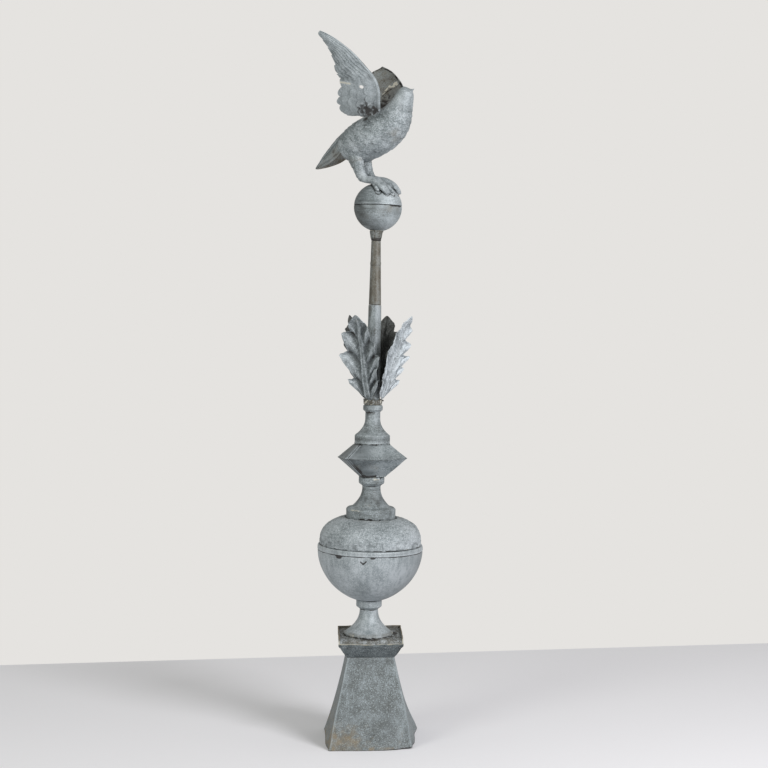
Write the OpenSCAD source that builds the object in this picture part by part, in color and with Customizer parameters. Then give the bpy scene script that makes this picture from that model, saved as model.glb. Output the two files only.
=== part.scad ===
// Roof finial in zinc sheet, with a bird on a ball.
// A square bell-cast pedestal carries turned and stamped parts soldered one
// on another: spools, a banded ball, a square lozenge, four leaves round a
// tapered stem, a small ball, and a bird with raised wings.
// +Z is up. The origin is the centre of the pedestal's underside, with the
// pedestal's front face towards -Y.

/* [Pedestal] */
// Side of the square pedestal at the floor
base_side = 230; // [160:1:320]
// Side of the pedestal under its cap
base_top_side = 116; // [80:1:150]
// Height of the pedestal
base_h = 222; // [140:1:320]
// Thickness of the folded sheet
sheet_t = 1.2; // [0.8:0.1:3]

/* [Pedestal cap] */
// Side of the cap where it meets the pedestal
cap_neck_side = 118; // [80:1:160]
// Side of the cap at its rim
cap_side = 162; // [120:1:220]
// Height of the sloping part
cap_flare_h = 39; // [15:1:60]
// Height of the upright rim
cap_rim_h = 14; // [4:0.5:22]
// Width of the rim's upper edge
cap_rim_w = 3; // [1.5:0.5:8]
// Depth of the tray inside the rim
cap_tray_d = 6; // [1:0.5:14]

/* [Lean] */
// Lean of everything above the cap, towards +X, in degrees
lean = 1.2; // [0:0.01:4]
// Further lean of the lozenge and all above it, towards +Y, in degrees
lean_back = 2.75; // [0:0.05:5]
// Sideways place of the first spool on the cap
lean_shift = -4.5; // [-15:0.5:15]
// Sideways place of the small ball on its cup
ball_shift = 3; // [-5:0.5:5]

/* [Foot spool] */
// Radius of the foot
foot_r = 61.3; // [40:0.5:75]
// Radius of the neck
foot_neck_r = 23.1; // [14:0.1:34]
// Radius of the ring under the ball
foot_ring_r = 32.3; // [20:0.1:45]
// Height of the ring
foot_ring_h = 19; // [8:0.5:26]
// Height of the whole spool
foot_h = 90.5; // [60:1:140]

/* [Banded ball] */
// Radius of the bowl at the band
bowl_r = 131.5; // [90:1:180]
// Radius of the dome above the band
dome_r = 128; // [86:0.5:176]
// Drop of the bowl to its pole
bowl_drop = 132; // [85:1:170]
// Height of the band
band_h = 13; // [6:0.5:24]
// Rise of the dome to its full curve
dome_h = 73; // [50:1:110]

/* [Middle spool] */
// Radius of the collar on the ball
mid_collar_r = 61.8; // [40:0.1:90]
// Height of the collar
mid_collar_h = 30; // [10:0.5:36]
// Radius of the neck
mid_neck_r = 23.2; // [14:0.1:34]
// Radius of the top ring
mid_ring_r = 32.2; // [20:0.1:45]
// Height of the top ring
mid_ring_h = 17; // [8:0.5:26]
// Height of the whole spool
mid_h = 107; // [70:1:140]

/* [Lozenge] */
// Side at the widest edge
loz_side = 155; // [110:1:220]
// Side at the bottom
loz_low_side = 61; // [50:1:90]
// Side at the top
loz_top_side = 82; // [70:1:120]
// Height of the lower half
loz_low_h = 45; // [25:1:70]
// Height of the upper half
loz_top_h = 34.5; // [20:1:60]
// Turn of the lozenge on the axis, in degrees
loz_turn = 5.75; // [-20:0.25:20]

/* [Upper spool] */
// Radius of the collar
up_collar_r = 44.6; // [30:0.1:60]
// Height of the collar
up_collar_h = 27; // [8:0.5:30]
// Radius of the neck
up_neck_r = 18.7; // [10:0.1:28]
// Radius of the ring under the leaves
up_ring_r = 24.6; // [16:0.1:36]
// Height of the ring
up_ring_h = 12; // [6:0.5:20]
// Height of the whole spool
up_h = 98; // [70:1:140]
// Width of the solder ring round the foot of the stem
solder_w = 6.5; // [4:0.1:14]
// Height of the solder ring
solder_h = 13; // [6:0.5:20]

/* [Leaves] */
// Length of a leaf along its rib, upright
leaf_h = 210; // [140:1:280]
// Half width of a leaf at its widest lobes
leaf_w = 60; // [30:0.5:70]
// How far the lobes curl outwards, as a share of the leaf's half width
leaf_curl = 0.2; // [0:0.01:0.35]
// Distance of the leaves' feet inside the rim of the solder ring
leaf_inset = 2.9; // [2:0.1:5]
// Outward reach of the two leaves that flare most
leaf_reach_a = 84; // [40:1:110]
// Outward reach of the two upright leaves
leaf_reach_b = 44; // [30:1:110]
// Thickness of the stamped sheet
leaf_t = 1.6; // [1:0.1:3]
// Turn of the first leaf about the axis, in degrees
leaf_turn = 238; // [0:0.05:360]

/* [Stem] */
// Radius of the stem at its foot
stem_r0 = 17.6; // [12:0.1:20]
// Radius at the joint of the two lengths
stem_r1 = 16; // [10:0.1:20]
// Radius at the top
stem_r2 = 12; // [8:0.1:18]
// Length of the lower tube
stem_low_h = 236.5; // [150:1:320]
// Length of the upper tube
stem_up_h = 159; // [100:1:240]
// Radius of the cup's mouth
cup_r = 15.9; // [13:0.1:24]
// Height of the cup at its mouth
cup_h = 25.5; // [15:0.1:40]

/* [Small ball] */
// Radius of the small ball
ball_r = 60.2; // [45:0.1:80]
// Height of its seam above its middle
ball_seam = 4; // [-10:0.5:12]

/* [Bird] */
// Turn of the bird's heading about the axis, in degrees
bird_turn = -31.75; // [-180:0.25:180]
// Half width of the body at its fullest
body_w = 56; // [44:0.5:66]
// Thickness of the wing sheet
wing_t = 2.2; // [1.2:0.1:4]
// Half width of the tail
tail_w = 27; // [16:0.5:40]
// Distance of each leg from the middle
leg_out = 20; // [16:0.5:26]
// Mean width of the hole through the right wing
wing_hole = 10; // [4:0.5:16]

/* [Hidden] */
$fn = 96;
zinc = "#8f999d";
zinc_pale = "#a3abad";
zinc_dark = "#7d868a";
brown = "#7a746b";

// Clearance under the feet, so that they rest on the ball without a clash.
seat = 0.1;
// Radius of the ball that the feet are shaped to: the bird rises with a larger
// one.
perch_r = 60.2;
solder_r = stem_r0 + solder_w;
leaf_root_r = solder_r - leaf_inset;

// Heights up the axis, each from the piece below.
z_cap = base_h;
z_pivot = z_cap + cap_flare_h + cap_rim_h - cap_tray_d;
z_ball_low = z_pivot + foot_h;
bowl_n = 1.9;
bowl_cut = bowl_drop * pow(1 - pow((foot_ring_r + 6) / bowl_r, bowl_n), 1 / bowl_n);
z_band = z_ball_low + bowl_cut;
z_dome = z_band + band_h;
dome_n = 2.8;
dome_top = dome_h * pow(1 - pow((mid_collar_r + 5) / dome_r, dome_n), 1 / dome_n);
z_mid = z_dome + dome_top - 4;
z_loz = z_mid + mid_h;
z_loz_edge = z_loz + loz_low_h;
z_up = z_loz_edge + loz_top_h;
z_solder = z_up + up_h;
z_leaf = z_solder + solder_h;
z_joint = z_leaf + stem_low_h;
z_cup = z_joint + stem_up_h;
z_ball = z_cup + cup_h + sqrt(ball_r * ball_r - cup_r * cup_r);

// Where the leaning axis carries the small ball's middle.
spool_rise = z_loz - z_pivot;
ball_rise = z_ball - z_loz;
ball_at = [lean_shift + (spool_rise + ball_rise * cos(lean_back)) * sin(lean)
        + ball_shift * cos(lean),
    ball_rise * sin(lean_back),
    z_pivot + (spool_rise + ball_rise * cos(lean_back)) * cos(lean)
        - ball_shift * sin(lean)];

module leaning() {
    translate([lean_shift, 0, z_pivot]) rotate([0, lean, 0])
        translate([0, 0, -z_pivot]) children();
}

module upper() {
    leaning() translate([0, 0, z_loz]) rotate([-lean_back, 0, 0])
        translate([0, 0, -z_loz]) children();
}

module on_ball() {
    translate(ball_at + [0, 0, ball_r - perch_r]) rotate([0, 0, bird_turn]) children();
}

// ---------------------------------------------------------------- shapes
function lerp(a, b, t) = a + (b - a) * t;
function unit(v) = v / max(norm(v), 1e-9);
function clampi(i, n) = i < 0 ? 0 : (i > n ? n : i);

// A smooth curve through a list of stations, k steps between neighbours.
function cr(a, b, c, d, t) =
    0.5 * (2 * b + (c - a) * t + (2 * a - 5 * b + 4 * c - d) * t * t
        + (3 * b - a - 3 * c + d) * t * t * t);
function smooth(p, k) = let (n = len(p) - 1)
    [for (i = [0:n - 1]) for (j = [0:k - 1])
        cr(p[clampi(i - 1, n)], p[i], p[i + 1], p[clampi(i + 2, n)], j / k),
     p[n]];

// A closed solid through rings of equal length, with a fan at each end.
module loft(rings) {
    n = len(rings);
    m = len(rings[0]);
    mid = [for (r = [rings[0], rings[n - 1]])
        [for (k = [0:2]) let (s = [for (p = r) p[k]]) s * [for (p = r) 1] / m]];
    polyhedron(
        points = concat([for (r = rings) for (p = r) p], mid),
        faces = concat(
            [for (i = [0:n - 2]) for (j = [0:m - 1]) let (q = (j + 1) % m)
                each [[i * m + j, i * m + q, (i + 1) * m + q],
                      [i * m + j, (i + 1) * m + q, (i + 1) * m + j]]],
            [for (j = [0:m - 1]) [n * m, (j + 1) % m, j]],
            [for (j = [0:m - 1])
                [n * m + 1, (n - 1) * m + j, (n - 1) * m + (j + 1) % m]]),
        convexity = 6);
}

// The way a grid faces at one of its points.
function grid_up(g, i, j) = let (n = len(g) - 1, m = len(g[0]) - 1)
    unit(cross(g[clampi(i + 1, n)][j] - g[clampi(i - 1, n)][j],
        g[i][clampi(j + 1, m)] - g[i][clampi(j - 1, m)]));

// A sheet of even thickness t along a grid of points.
module sheet(g, t) {
    n = len(g);
    m = len(g[0]);
    top = [for (i = [0:n - 1]) for (j = [0:m - 1]) g[i][j] + grid_up(g, i, j) * t / 2];
    low = [for (i = [0:n - 1]) for (j = [0:m - 1]) g[i][j] - grid_up(g, i, j) * t / 2];
    o = n * m;
    polyhedron(
        points = concat(top, low),
        faces = concat(
            [for (i = [0:n - 2]) for (j = [0:m - 2]) let (a = i * m + j)
                each [[a, a + 1, a + m + 1], [a, a + m + 1, a + m],
                      [o + a, o + a + m + 1, o + a + 1], [o + a, o + a + m, o + a + m + 1]]],
            [for (i = [0:n - 2]) let (a = i * m, b = i * m + m - 1)
                each [[a, a + m, o + a + m], [a, o + a + m, o + a],
                      [b, o + b + m, b + m], [b, o + b, o + b + m]]],
            [for (j = [0:m - 2]) let (a = j, b = (n - 1) * m + j)
                each [[a, o + a + 1, a + 1], [a, o + a, o + a + 1],
                      [b, b + 1, o + b + 1], [b, o + b + 1, o + b]]]),
        convexity = 8);
}

// ------------------------------------------------------------- pedestal
// Half side at height z: a slope that flares gently down to the floor.
function base_half(z) = let (t = 1 - z / base_h)
    lerp(base_top_side, base_side, 0.78 * t + 0.22 * pow(t, 2.5)) / 2;
base_steps = 14;

module base_shape(d, z1) {
    zs = [for (i = [0:base_steps]) lerp(0, z1, i / base_steps)];
    outline = concat([for (z = zs) [base_half(z) - d, z]],
        [for (i = [len(zs) - 1:-1:0]) [-(base_half(zs[i]) - d), zs[i]]]);
    intersection() {
        translate([0, base_side, 0]) rotate([90, 0, 0])
            linear_extrude(2 * base_side) polygon(outline);
        rotate([0, 0, 90]) translate([0, base_side, 0]) rotate([90, 0, 0])
            linear_extrude(2 * base_side) polygon(outline);
    }
}

module pedestal() {
    color(zinc_dark) difference() {
        base_shape(0, base_h);
        base_shape(sheet_t, base_h - sheet_t);
        // The open underside.
        translate([0, 0, -1]) linear_extrude(1.5)
            square(base_side - 2 * sheet_t - 0.6, center = true);
    }
}

// Half side at height z: the slope bows a little below a straight line.
cap_outline = concat(
    [for (i = [0:4]) let (t = i / 4)
        [lerp(cap_neck_side, cap_side, t + 0.1 * sin(180 * t)) / 2, t * cap_flare_h]],
    [[cap_side / 2, cap_flare_h + cap_rim_h]]);

module pedestal_cap() {
    p = concat(cap_outline, [for (i = [5:-1:0]) [-cap_outline[i][0], cap_outline[i][1]]]);
    tray = cap_side - 2 * cap_rim_w;
    color(zinc_dark) translate([0, 0, z_cap]) difference() {
        intersection() {
            translate([0, cap_side, 0]) rotate([90, 0, 0])
                linear_extrude(2 * cap_side) polygon(p);
            rotate([0, 0, 90]) translate([0, cap_side, 0]) rotate([90, 0, 0])
                linear_extrude(2 * cap_side) polygon(p);
        }
        translate([0, 0, z_pivot - z_cap]) linear_extrude(cap_tray_d + 1)
            square(tray, center = true);
    }
}

// ---------------------------------------------------------- turned parts
// A hollow curve from the wide end [r0, z0] to the neck [r1, z1]; a higher p
// hollows it more.
function cove(r0, z0, r1, z1, n, p) =
    [for (i = [0:n]) let (t = i / n)
        [r1 + (r0 - r1) * pow(1 - t, p), lerp(z0, z1, t)]];

module foot_spool() {
    low = foot_h - foot_ring_h;
    skirt = foot_r * tan(lean) + 0.5;
    color(zinc_pale) difference() {
        leaning() translate([0, 0, z_pivot]) rotate_extrude()
            polygon(concat([[0, -skirt], [foot_r, -skirt], [foot_r, 5]],
                cove(foot_r - 1, 6, foot_neck_r, low - 6, 16, 2.3),
                [[lerp(foot_neck_r, foot_ring_r, 0.9), low],
                 [foot_ring_r, low + 2],
                 [foot_ring_r, foot_h - 3], [foot_ring_r - 2, foot_h], [0, foot_h]]));
        // Cut level with the tray that the foot stands in.
        translate([0, 0, z_pivot - foot_r]) cube([4 * foot_r, 4 * foot_r, 2 * foot_r], center = true);
    }
}

// The bowl is the lower half of a squat ball, cut flat where the spool holds it.
module ball_bowl() {
    a0 = acos(pow((foot_ring_r + 6) / bowl_r, bowl_n / 2));
    color(zinc_pale) leaning() translate([0, 0, z_band]) rotate_extrude()
        polygon(concat([[0, -bowl_cut]],
            [for (i = [0:24]) let (a = a0 * (1 - i / 24)) 
                [bowl_r * pow(cos(a), 2 / bowl_n), -bowl_drop * pow(sin(a), 2 / bowl_n)]],
            [[bowl_r + 1.3, 0.5], [bowl_r + 1.3, band_h - 3],
             [bowl_r, band_h], [0, band_h]]));
}

module ball_dome() {
    r1 = mid_collar_r + 5;
    a1 = acos(r1 / dome_r);
    color(zinc) leaning() translate([0, 0, z_dome]) rotate_extrude()
        polygon(concat([[0, 0]],
            [for (i = [0:20]) let (r = lerp(dome_r, r1, pow(i / 20, 2)))
                [r, dome_h * pow(max(0, 1 - pow(r / dome_r, dome_n)), 1 / dome_n)]],
            [[r1 - 4, dome_top - 4], [0, dome_top - 4]]));
}

module middle_spool() {
    step = mid_collar_r * 0.72;
    color(zinc) leaning() translate([0, 0, z_mid]) rotate_extrude()
        polygon(concat([[0, 0], [mid_collar_r - 1.5, 0], [mid_collar_r, 2],
             [mid_collar_r, mid_collar_h - 5], [mid_collar_r - 4, mid_collar_h - 1],
             [step + 4, mid_collar_h + 1]],
            cove(step, mid_collar_h + 4, mid_neck_r, mid_h - mid_ring_h - 12, 14, 2.1),
            [[mid_neck_r, mid_h - mid_ring_h - 7], [mid_ring_r - 1, mid_h - mid_ring_h - 1],
             [mid_ring_r, mid_h - mid_ring_h + 2], [mid_ring_r, mid_h - 3],
             [mid_ring_r - 2, mid_h], [0, mid_h]]));
}

module tapered_square(s0, s1, h) {
    p = [[-s0 / 2, 0], [s0 / 2, 0], [s1 / 2, h], [-s1 / 2, h]];
    s = max(s0, s1);
    intersection() {
        translate([0, s, 0]) rotate([90, 0, 0]) linear_extrude(2 * s) polygon(p);
        rotate([0, 0, 90]) translate([0, s, 0]) rotate([90, 0, 0])
            linear_extrude(2 * s) polygon(p);
    }
}

// The lower half is cut level where it seats on the spool below it.
module lozenge_lower() {
    skirt = 0.5 * loz_low_side * tan(lean_back) + 1;
    color(zinc) difference() {
        upper() union() {
            translate([0, 0, z_loz]) rotate([0, 0, loz_turn])
                tapered_square(loz_low_side, loz_side, loz_low_h);
            translate([0, 0, z_loz - skirt]) cylinder(r = min(mid_ring_r - 2, loz_low_side / 2), h = skirt + 1);
        }
        leaning() translate([0, 0, z_loz - loz_side / 2])
            cube([2 * loz_side, 2 * loz_side, loz_side], center = true);
    }
}

module lozenge_upper() {
    color(zinc_dark) upper() translate([0, 0, z_loz_edge]) rotate([0, 0, loz_turn])
        tapered_square(loz_side, loz_top_side, loz_top_h);
}

module upper_spool() {
    color(zinc) upper() translate([0, 0, z_up]) rotate_extrude()
        polygon(concat([[0, 0], [up_collar_r - 1, 0], [up_collar_r, 2],
             [up_collar_r, up_collar_h - 5], [up_collar_r - 4, up_collar_h - 1]],
            cove(up_collar_r - 7, up_collar_h + 1, up_neck_r, up_collar_h + 38, 12, 2.2),
            [[up_neck_r, up_h - up_ring_h - 5], [up_ring_r - 1, up_h - up_ring_h - 1],
             [up_ring_r, up_h - up_ring_h + 1], [up_ring_r, up_h - 2],
             [up_ring_r - 2, up_h], [0, up_h]]));
}

module solder_ring() {
    color(brown) upper() translate([0, 0, z_solder]) rotate_extrude()
        polygon([[0, 0], [solder_r - 1.5, 0], [solder_r, 3], [solder_r - 0.5, solder_h - 3],
            [solder_r - 1, solder_h], [0, solder_h]]);
}

// ---------------------------------------------------------------- leaves
// Distance of the rib from the stem's axis, s up the leaf.
function leaf_r(s, reach) = leaf_root_r + reach * (0.66 * pow(s, 0.7) + 0.34 * pow(s, 4));

// Outline of a leaf, from its foot up: place along the rib, and half width as
// a share of leaf_w. Four pairs of lobes with deep notches between them.
leaf_outline = [
    [0, 0.18], [0.05, 0.25], [0.10, 0.50], [0.15, 0.75], [0.19, 0.77],
    [0.225, 0.58], [0.26, 0.47], [0.31, 0.63], [0.37, 0.88], [0.42, 1],
    [0.46, 0.95], [0.50, 0.72], [0.54, 0.62], [0.60, 0.72], [0.66, 0.82],
    [0.70, 0.78], [0.74, 0.57], [0.78, 0.43], [0.82, 0.47], [0.86, 0.45],
    [0.91, 0.32], [0.96, 0.15], [1, 0.015]];

// Each leaf keeps to its own quarter turn round the stem.
function leaf_half(s, reach) =
    min(lookup(s, leaf_outline) * leaf_w, 1.17 * (leaf_r(s, reach) - leaf_t - 1));

// A point of the leaf, s up its rib and t across it. The lobes rise towards
// their tips and curl outwards.
function leaf_at(s, t, reach) = let (
        half = leaf_half(s, reach),
        lift = 0.45 * abs(half * t) * min(1, s / 0.1) * (1 - 0.7 * s))
    [leaf_r(s, reach) + leaf_curl * half * (1.4 * pow(t, 4) - 0.4 * t * t),
     half * t, min(leaf_h, leaf_h * s * 0.995 + lift)];

leaf_cols = 8;

module leaf(i) {
    reach = i < 2 ? leaf_reach_a : leaf_reach_b;
    g = [for (q = leaf_outline) [for (b = [-leaf_cols / 2:leaf_cols / 2])
        leaf_at(q[0], 2 * b / leaf_cols, reach)]];
    // The foot is trimmed level where it stands on the solder ring.
    color(zinc_pale) upper() translate([0, 0, z_leaf])
        rotate([0, 0, leaf_turn + 90 * i]) difference() {
            sheet(g, leaf_t);
            translate([0, 0, -5]) cube([4 * leaf_root_r, 4 * leaf_root_r, 10], center = true);
        }
}

// ------------------------------------------------------------------ stem
module stem_lower() {
    color(zinc_pale) upper() translate([0, 0, z_leaf])
        cylinder(h = stem_low_h, r1 = stem_r0, r2 = stem_r1);
}

module stem_upper() {
    color(brown) upper() translate([0, 0, z_joint])
        cylinder(h = stem_up_h, r1 = stem_r1 - 0.6, r2 = stem_r2);
}

module stem_cup() {
    color(brown) upper() difference() {
        translate([0, 0, z_cup]) rotate_extrude()
            polygon([[0, 0], [stem_r2 + 0.4, 0], [stem_r2 + 0.6, 5],
                [cup_r, cup_h + 1], [0, cup_h + 1]]);
        translate([ball_shift, 0, z_ball]) sphere(r = ball_r);
    }
}

// ------------------------------------------------------------ small ball
module half_ball(up) {
    upper() translate([ball_shift, 0, z_ball]) rotate_extrude() intersection() {
        circle(r = ball_r);
        translate([0, up ? ball_seam : -ball_r - 1])
            square([ball_r + 1, ball_r + 1 + (up ? -ball_seam : ball_seam)]);
    }
}

module small_ball_lower() { color(zinc_dark) half_ball(false); }
module small_ball_upper() { color(zinc_pale) half_ball(true); }

// ------------------------------------------------------------------ bird
// The bird's own frame: x forward, y to its left, z up, from the middle of
// the small ball. Each station gives the back [x, z], the breast [x, z] and
// the half width as a share of body_w.
body_stations = [
    [-112, 168, -94, 128, 0.30], [-108, 175, -84, 116, 0.55],
    [-100, 183, -58, 110, 0.74], [-88, 194, -27, 114, 0.88],
    [-73, 205, 4, 125, 0.97], [-54, 216, 35, 140, 1.00],
    [-32, 226, 61, 160, 0.97], [-9, 235, 79, 184, 0.90],
    [12, 242, 89, 208, 0.80], [27, 250, 92.5, 230, 0.67],
    [38, 259, 95, 246, 0.56], [47, 269, 97.5, 259, 0.47],
    [55, 280, 98.5, 268, 0.41], [63, 290, 98.5, 274, 0.36],
    [73, 295, 97.5, 276.5, 0.31], [83, 292.5, 97.5, 278, 0.22],
    [90, 289.5, 97, 280, 0.13], [96, 289, 98, 282, 0.08],
    [103, 289.5, 102, 287.5, 0.02]];
body_round = 20;

module body_solid() {
    st = smooth(body_stations, 2);
    loft([for (q = st) let (
            c = [(q[0] + q[2]) / 2, 0, (q[1] + q[3]) / 2],
            v = [(q[0] - q[2]) / 2, 0, (q[1] - q[3]) / 2],
            w = [0, q[4] * body_w, 0])
        [for (j = [0:body_round - 1]) let (a = 360 * j / body_round)
            c + v * cos(a) + w * sin(a)]]);
}

module bird_body() {
    color(zinc) on_ball() body_solid();
}

// The tail is a tapering trough, open below: its ridge [x, z], its lower
// edges [x, z] and its half width there as a share of tail_w.
tail_stations = [
    [-100, 184, -84, 146, 1.10], [-112, 174, -92, 134, 1.05],
    [-128, 158, -106, 122, 1.00], [-142, 143, -122, 112, 0.88],
    [-155, 129, -140, 105, 0.70], [-167, 114, -157, 100, 0.46],
    [-176, 103, -171, 97, 0.22], [-180, 97, -179, 96, 0.08]];

module bird_tail() {
    st = smooth(tail_stations, 2);
    g = [for (q = st) [for (j = [-5:5]) let (a = 18 * j)
        [lerp(q[0], q[2], 1 - cos(a)), -q[4] * tail_w * sin(a),
         lerp(q[1], q[3], 1 - cos(a))]]];
    color(zinc) on_ball() difference() {
        sheet(g, wing_t);
        body_solid();
    }
}

// A wing from its root to its tip: leading edge [x, z], trailing edge [x, z].
right_wing = [
    [24, 224, -36, 226], [31, 238, -72, 229], [37, 256, -84, 247],
    [43, 272, -83, 264], [46, 288, -73, 283], [45, 304, -60, 302],
    [39, 320, -59, 319], [27, 338, -65, 331], [12, 360, -60, 348],
    [-2, 377, -60, 367], [-17, 391, -62, 380], [-36, 407, -67, 395],
    [-55, 418, -72, 407], [-71, 425, -78, 416]];
left_wing = [
    [24, 224, -36, 226], [31, 238, -72, 229], [36, 254, -84, 247],
    [36, 272, -86, 264], [29, 292, -88, 283], [14, 310, -91, 302],
    [-7, 328, -94, 318], [-32, 345, -93, 332], [-63, 358, -84, 346]];

// How far a wing stands out at height z, from its root inside the body's side.
wing_root_z = 235;
wing_root_out = body_w - 16;

module wing(stations, side, slope) {
    st = smooth(stations, 2);
    n = len(st) - 1;
    g = [for (i = [0:n]) [for (j = [0:8]) let (
            q = st[i], t = j / 8,
            x = lerp(q[0], q[2], t),
            z = lerp(q[1], q[3], t),
            bow = 12 * sin(180 * t) * (1 - 0.6 * i / n),
            out = wing_root_out + slope * (z - wing_root_z) + bow)
        [x, side * out, z]]];
    sheet(side < 0 ? g : [for (r = g) [for (j = [8:-1:0]) r[j]]], wing_t);
}

module wing_right() {
    color(zinc_pale) on_ball() difference() {
        wing(right_wing, -1, 0.62);
        body_solid();
        translate([2, -76, 292]) rotate([90, 0, 0])
            linear_extrude(80, center = true) scale([1.15, 0.85])
                circle(d = wing_hole, $fn = 9);
    }
}

module wing_left() {
    color(brown) on_ball() difference() {
        wing(left_wing, 1, 0.76);
        body_solid();
    }
}

// A leg from the body to the toes: middle [x, z], half size along the body
// [x, z], half size across, and how far the middle turns out.
leg_stations = [
    [-50, 134, 23, 4, 18, 0], [-50, 117, 20, 4, 17.5, 0], [-45, 101, 15, 5, 14, 0],
    [-39, 86, 12.5, 6, 12, 0], [-32, 74, 9.5, 8.5, 10.5, 0], [-21, 69, 3, 9, 11, 0],
    [-6, 67, 0, 9.5, 14, 0], [11, 63, 3, 9, 17, 2], [26, 54, 5, 8, 18.5, 4],
    [38, 42, 5.5, 5, 18, 5], [45, 33, 3, 2.5, 12, 5]];

module leg(side) {
    st = smooth(leg_stations, 2);
    color(zinc) on_ball() difference() {
        loft([for (q = st) [for (j = [0:15]) let (a = side * 360 * j / 16)
            [q[0], side * (leg_out + q[5]), q[1]]
                + [q[2], 0, q[3]] * cos(a) + [0, side * q[4], 0] * sin(a) * side]]);
        body_solid();
        translate([0, 0, perch_r - ball_r]) sphere(r = ball_r + seat);
    }
}

module leg_right() { leg(-1); }
module leg_left() { leg(1); }

pedestal();
pedestal_cap();
foot_spool();
ball_bowl();
ball_dome();
middle_spool();
lozenge_lower();
lozenge_upper();
upper_spool();
solder_ring();
leaf(0);  // leaf_1
leaf(1);  // leaf_2
leaf(2);  // leaf_3
leaf(3);  // leaf_4
stem_lower();
stem_upper();
stem_cup();
small_ball_lower();
small_ball_upper();
bird_body();
bird_tail();
wing_right();
wing_left();
leg_right();
leg_left();
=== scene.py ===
"""Looks of a weathered zinc roof finial: every piece is made in millimetres, then placed in metres."""

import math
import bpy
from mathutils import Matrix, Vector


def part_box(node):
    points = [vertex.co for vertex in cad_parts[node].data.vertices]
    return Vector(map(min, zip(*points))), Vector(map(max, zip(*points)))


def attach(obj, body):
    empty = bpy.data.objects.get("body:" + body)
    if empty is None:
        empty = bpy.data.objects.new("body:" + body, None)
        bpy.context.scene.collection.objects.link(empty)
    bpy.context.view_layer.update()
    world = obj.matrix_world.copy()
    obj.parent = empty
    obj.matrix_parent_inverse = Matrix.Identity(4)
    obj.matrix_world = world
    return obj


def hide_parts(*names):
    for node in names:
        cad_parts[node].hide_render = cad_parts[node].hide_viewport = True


bl_info = {
    "name": "Zinc Roof Finial",
    "version": (1, 0, 0),
    "blender": (4, 5, 0),
    "location": "3D View > Sidebar > Finial",
    "description": "Builds a weathered zinc roof finial with a bird on a ball",
    "category": "Object",
}

import bmesh
import bpy
import numpy as np
from bpy.props import FloatProperty, FloatVectorProperty, IntProperty, PointerProperty
from mathutils import Matrix, Vector

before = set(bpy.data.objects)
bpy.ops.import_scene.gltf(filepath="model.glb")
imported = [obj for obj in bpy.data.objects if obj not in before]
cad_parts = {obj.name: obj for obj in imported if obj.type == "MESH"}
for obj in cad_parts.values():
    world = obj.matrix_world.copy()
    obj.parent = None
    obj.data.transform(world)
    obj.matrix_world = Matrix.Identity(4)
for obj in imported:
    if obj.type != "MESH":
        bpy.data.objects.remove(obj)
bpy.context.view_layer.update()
MM = 0.001

# ---------------------------------------------------------------- placing
# The shaft leans a little to the right above the cap, and back above the
# lozenge. Each frame below takes millimetres in a piece's own upright place
# to the object's place.


def turn(axis, degrees):
    return np.array(Matrix.Rotation(math.radians(degrees), 4, axis))


def shift(x, y, z):
    return np.array(Matrix.Translation((x, y, z)))


def box_mm(node):
    low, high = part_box(node)
    return np.array(low) * 1000, np.array(high) * 1000


LEAN, LEAN_BACK, LEAN_SHIFT = 1.2, 2.75, -4.5
PLAIN = np.eye(4)
TRAY_Z = box_mm("foot_spool")[0][2]
LEANING = shift(LEAN_SHIFT, 0, TRAY_Z) @ turn("Y", LEAN) @ shift(0, 0, -TRAY_Z)


def measure(node, place):
    """Lowest and highest corner of a CAD node in its own upright place, in mm."""
    points = np.array([v.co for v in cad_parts[node].data.vertices]) * 1000
    back = np.linalg.inv(place)
    points = points @ back[:3, :3].T + back[:3, 3]
    return points.min(0), points.max(0)


def span(node, place):
    """Foot and height of a CAD node in its own upright place, in mm."""
    low, high = measure(node, place)
    return low[2], high[2] - low[2]


LOZENGE_Z = measure("middle_spool", LEANING)[1][2]
UPPER = LEANING @ shift(0, 0, LOZENGE_Z) @ turn("X", -LEAN_BACK) @ shift(0, 0, -LOZENGE_Z)
BALL_LOW, BALL_HIGH = measure("small_ball_lower", UPPER)
BALL_R = (BALL_HIGH[0] - BALL_LOW[0]) / 2
BALL_MID = np.array([(BALL_HIGH[0] + BALL_LOW[0]) / 2, 0, BALL_LOW[2] + BALL_R])
BIRD_TURN = -31.75
BIRD = shift(*(UPPER[:3, :3] @ BALL_MID + UPPER[:3, 3])) @ turn("Z", BIRD_TURN)


# ----------------------------------------------------------------- sizes
def hex_linear(code):
    """sRGB hex to a linear colour."""
    out = []
    for k in (1, 3, 5):
        c = int(code[k : k + 2], 16) / 255
        out.append(c / 12.92 if c <= 0.04045 else ((c + 0.055) / 1.055) ** 2.4)
    return tuple(out)


def length_prop(name, description, mm, top):
    return FloatProperty(
        name=name, description=description, default=mm * MM, min=0.0, max=top * MM,
        unit="LENGTH", subtype="DISTANCE", precision=4,
    )


def colour_prop(name, description, code):
    return FloatVectorProperty(
        name=name, description=description, default=hex_linear(code), size=3,
        min=0.0, max=1.0, subtype="COLOR",
    )


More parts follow.
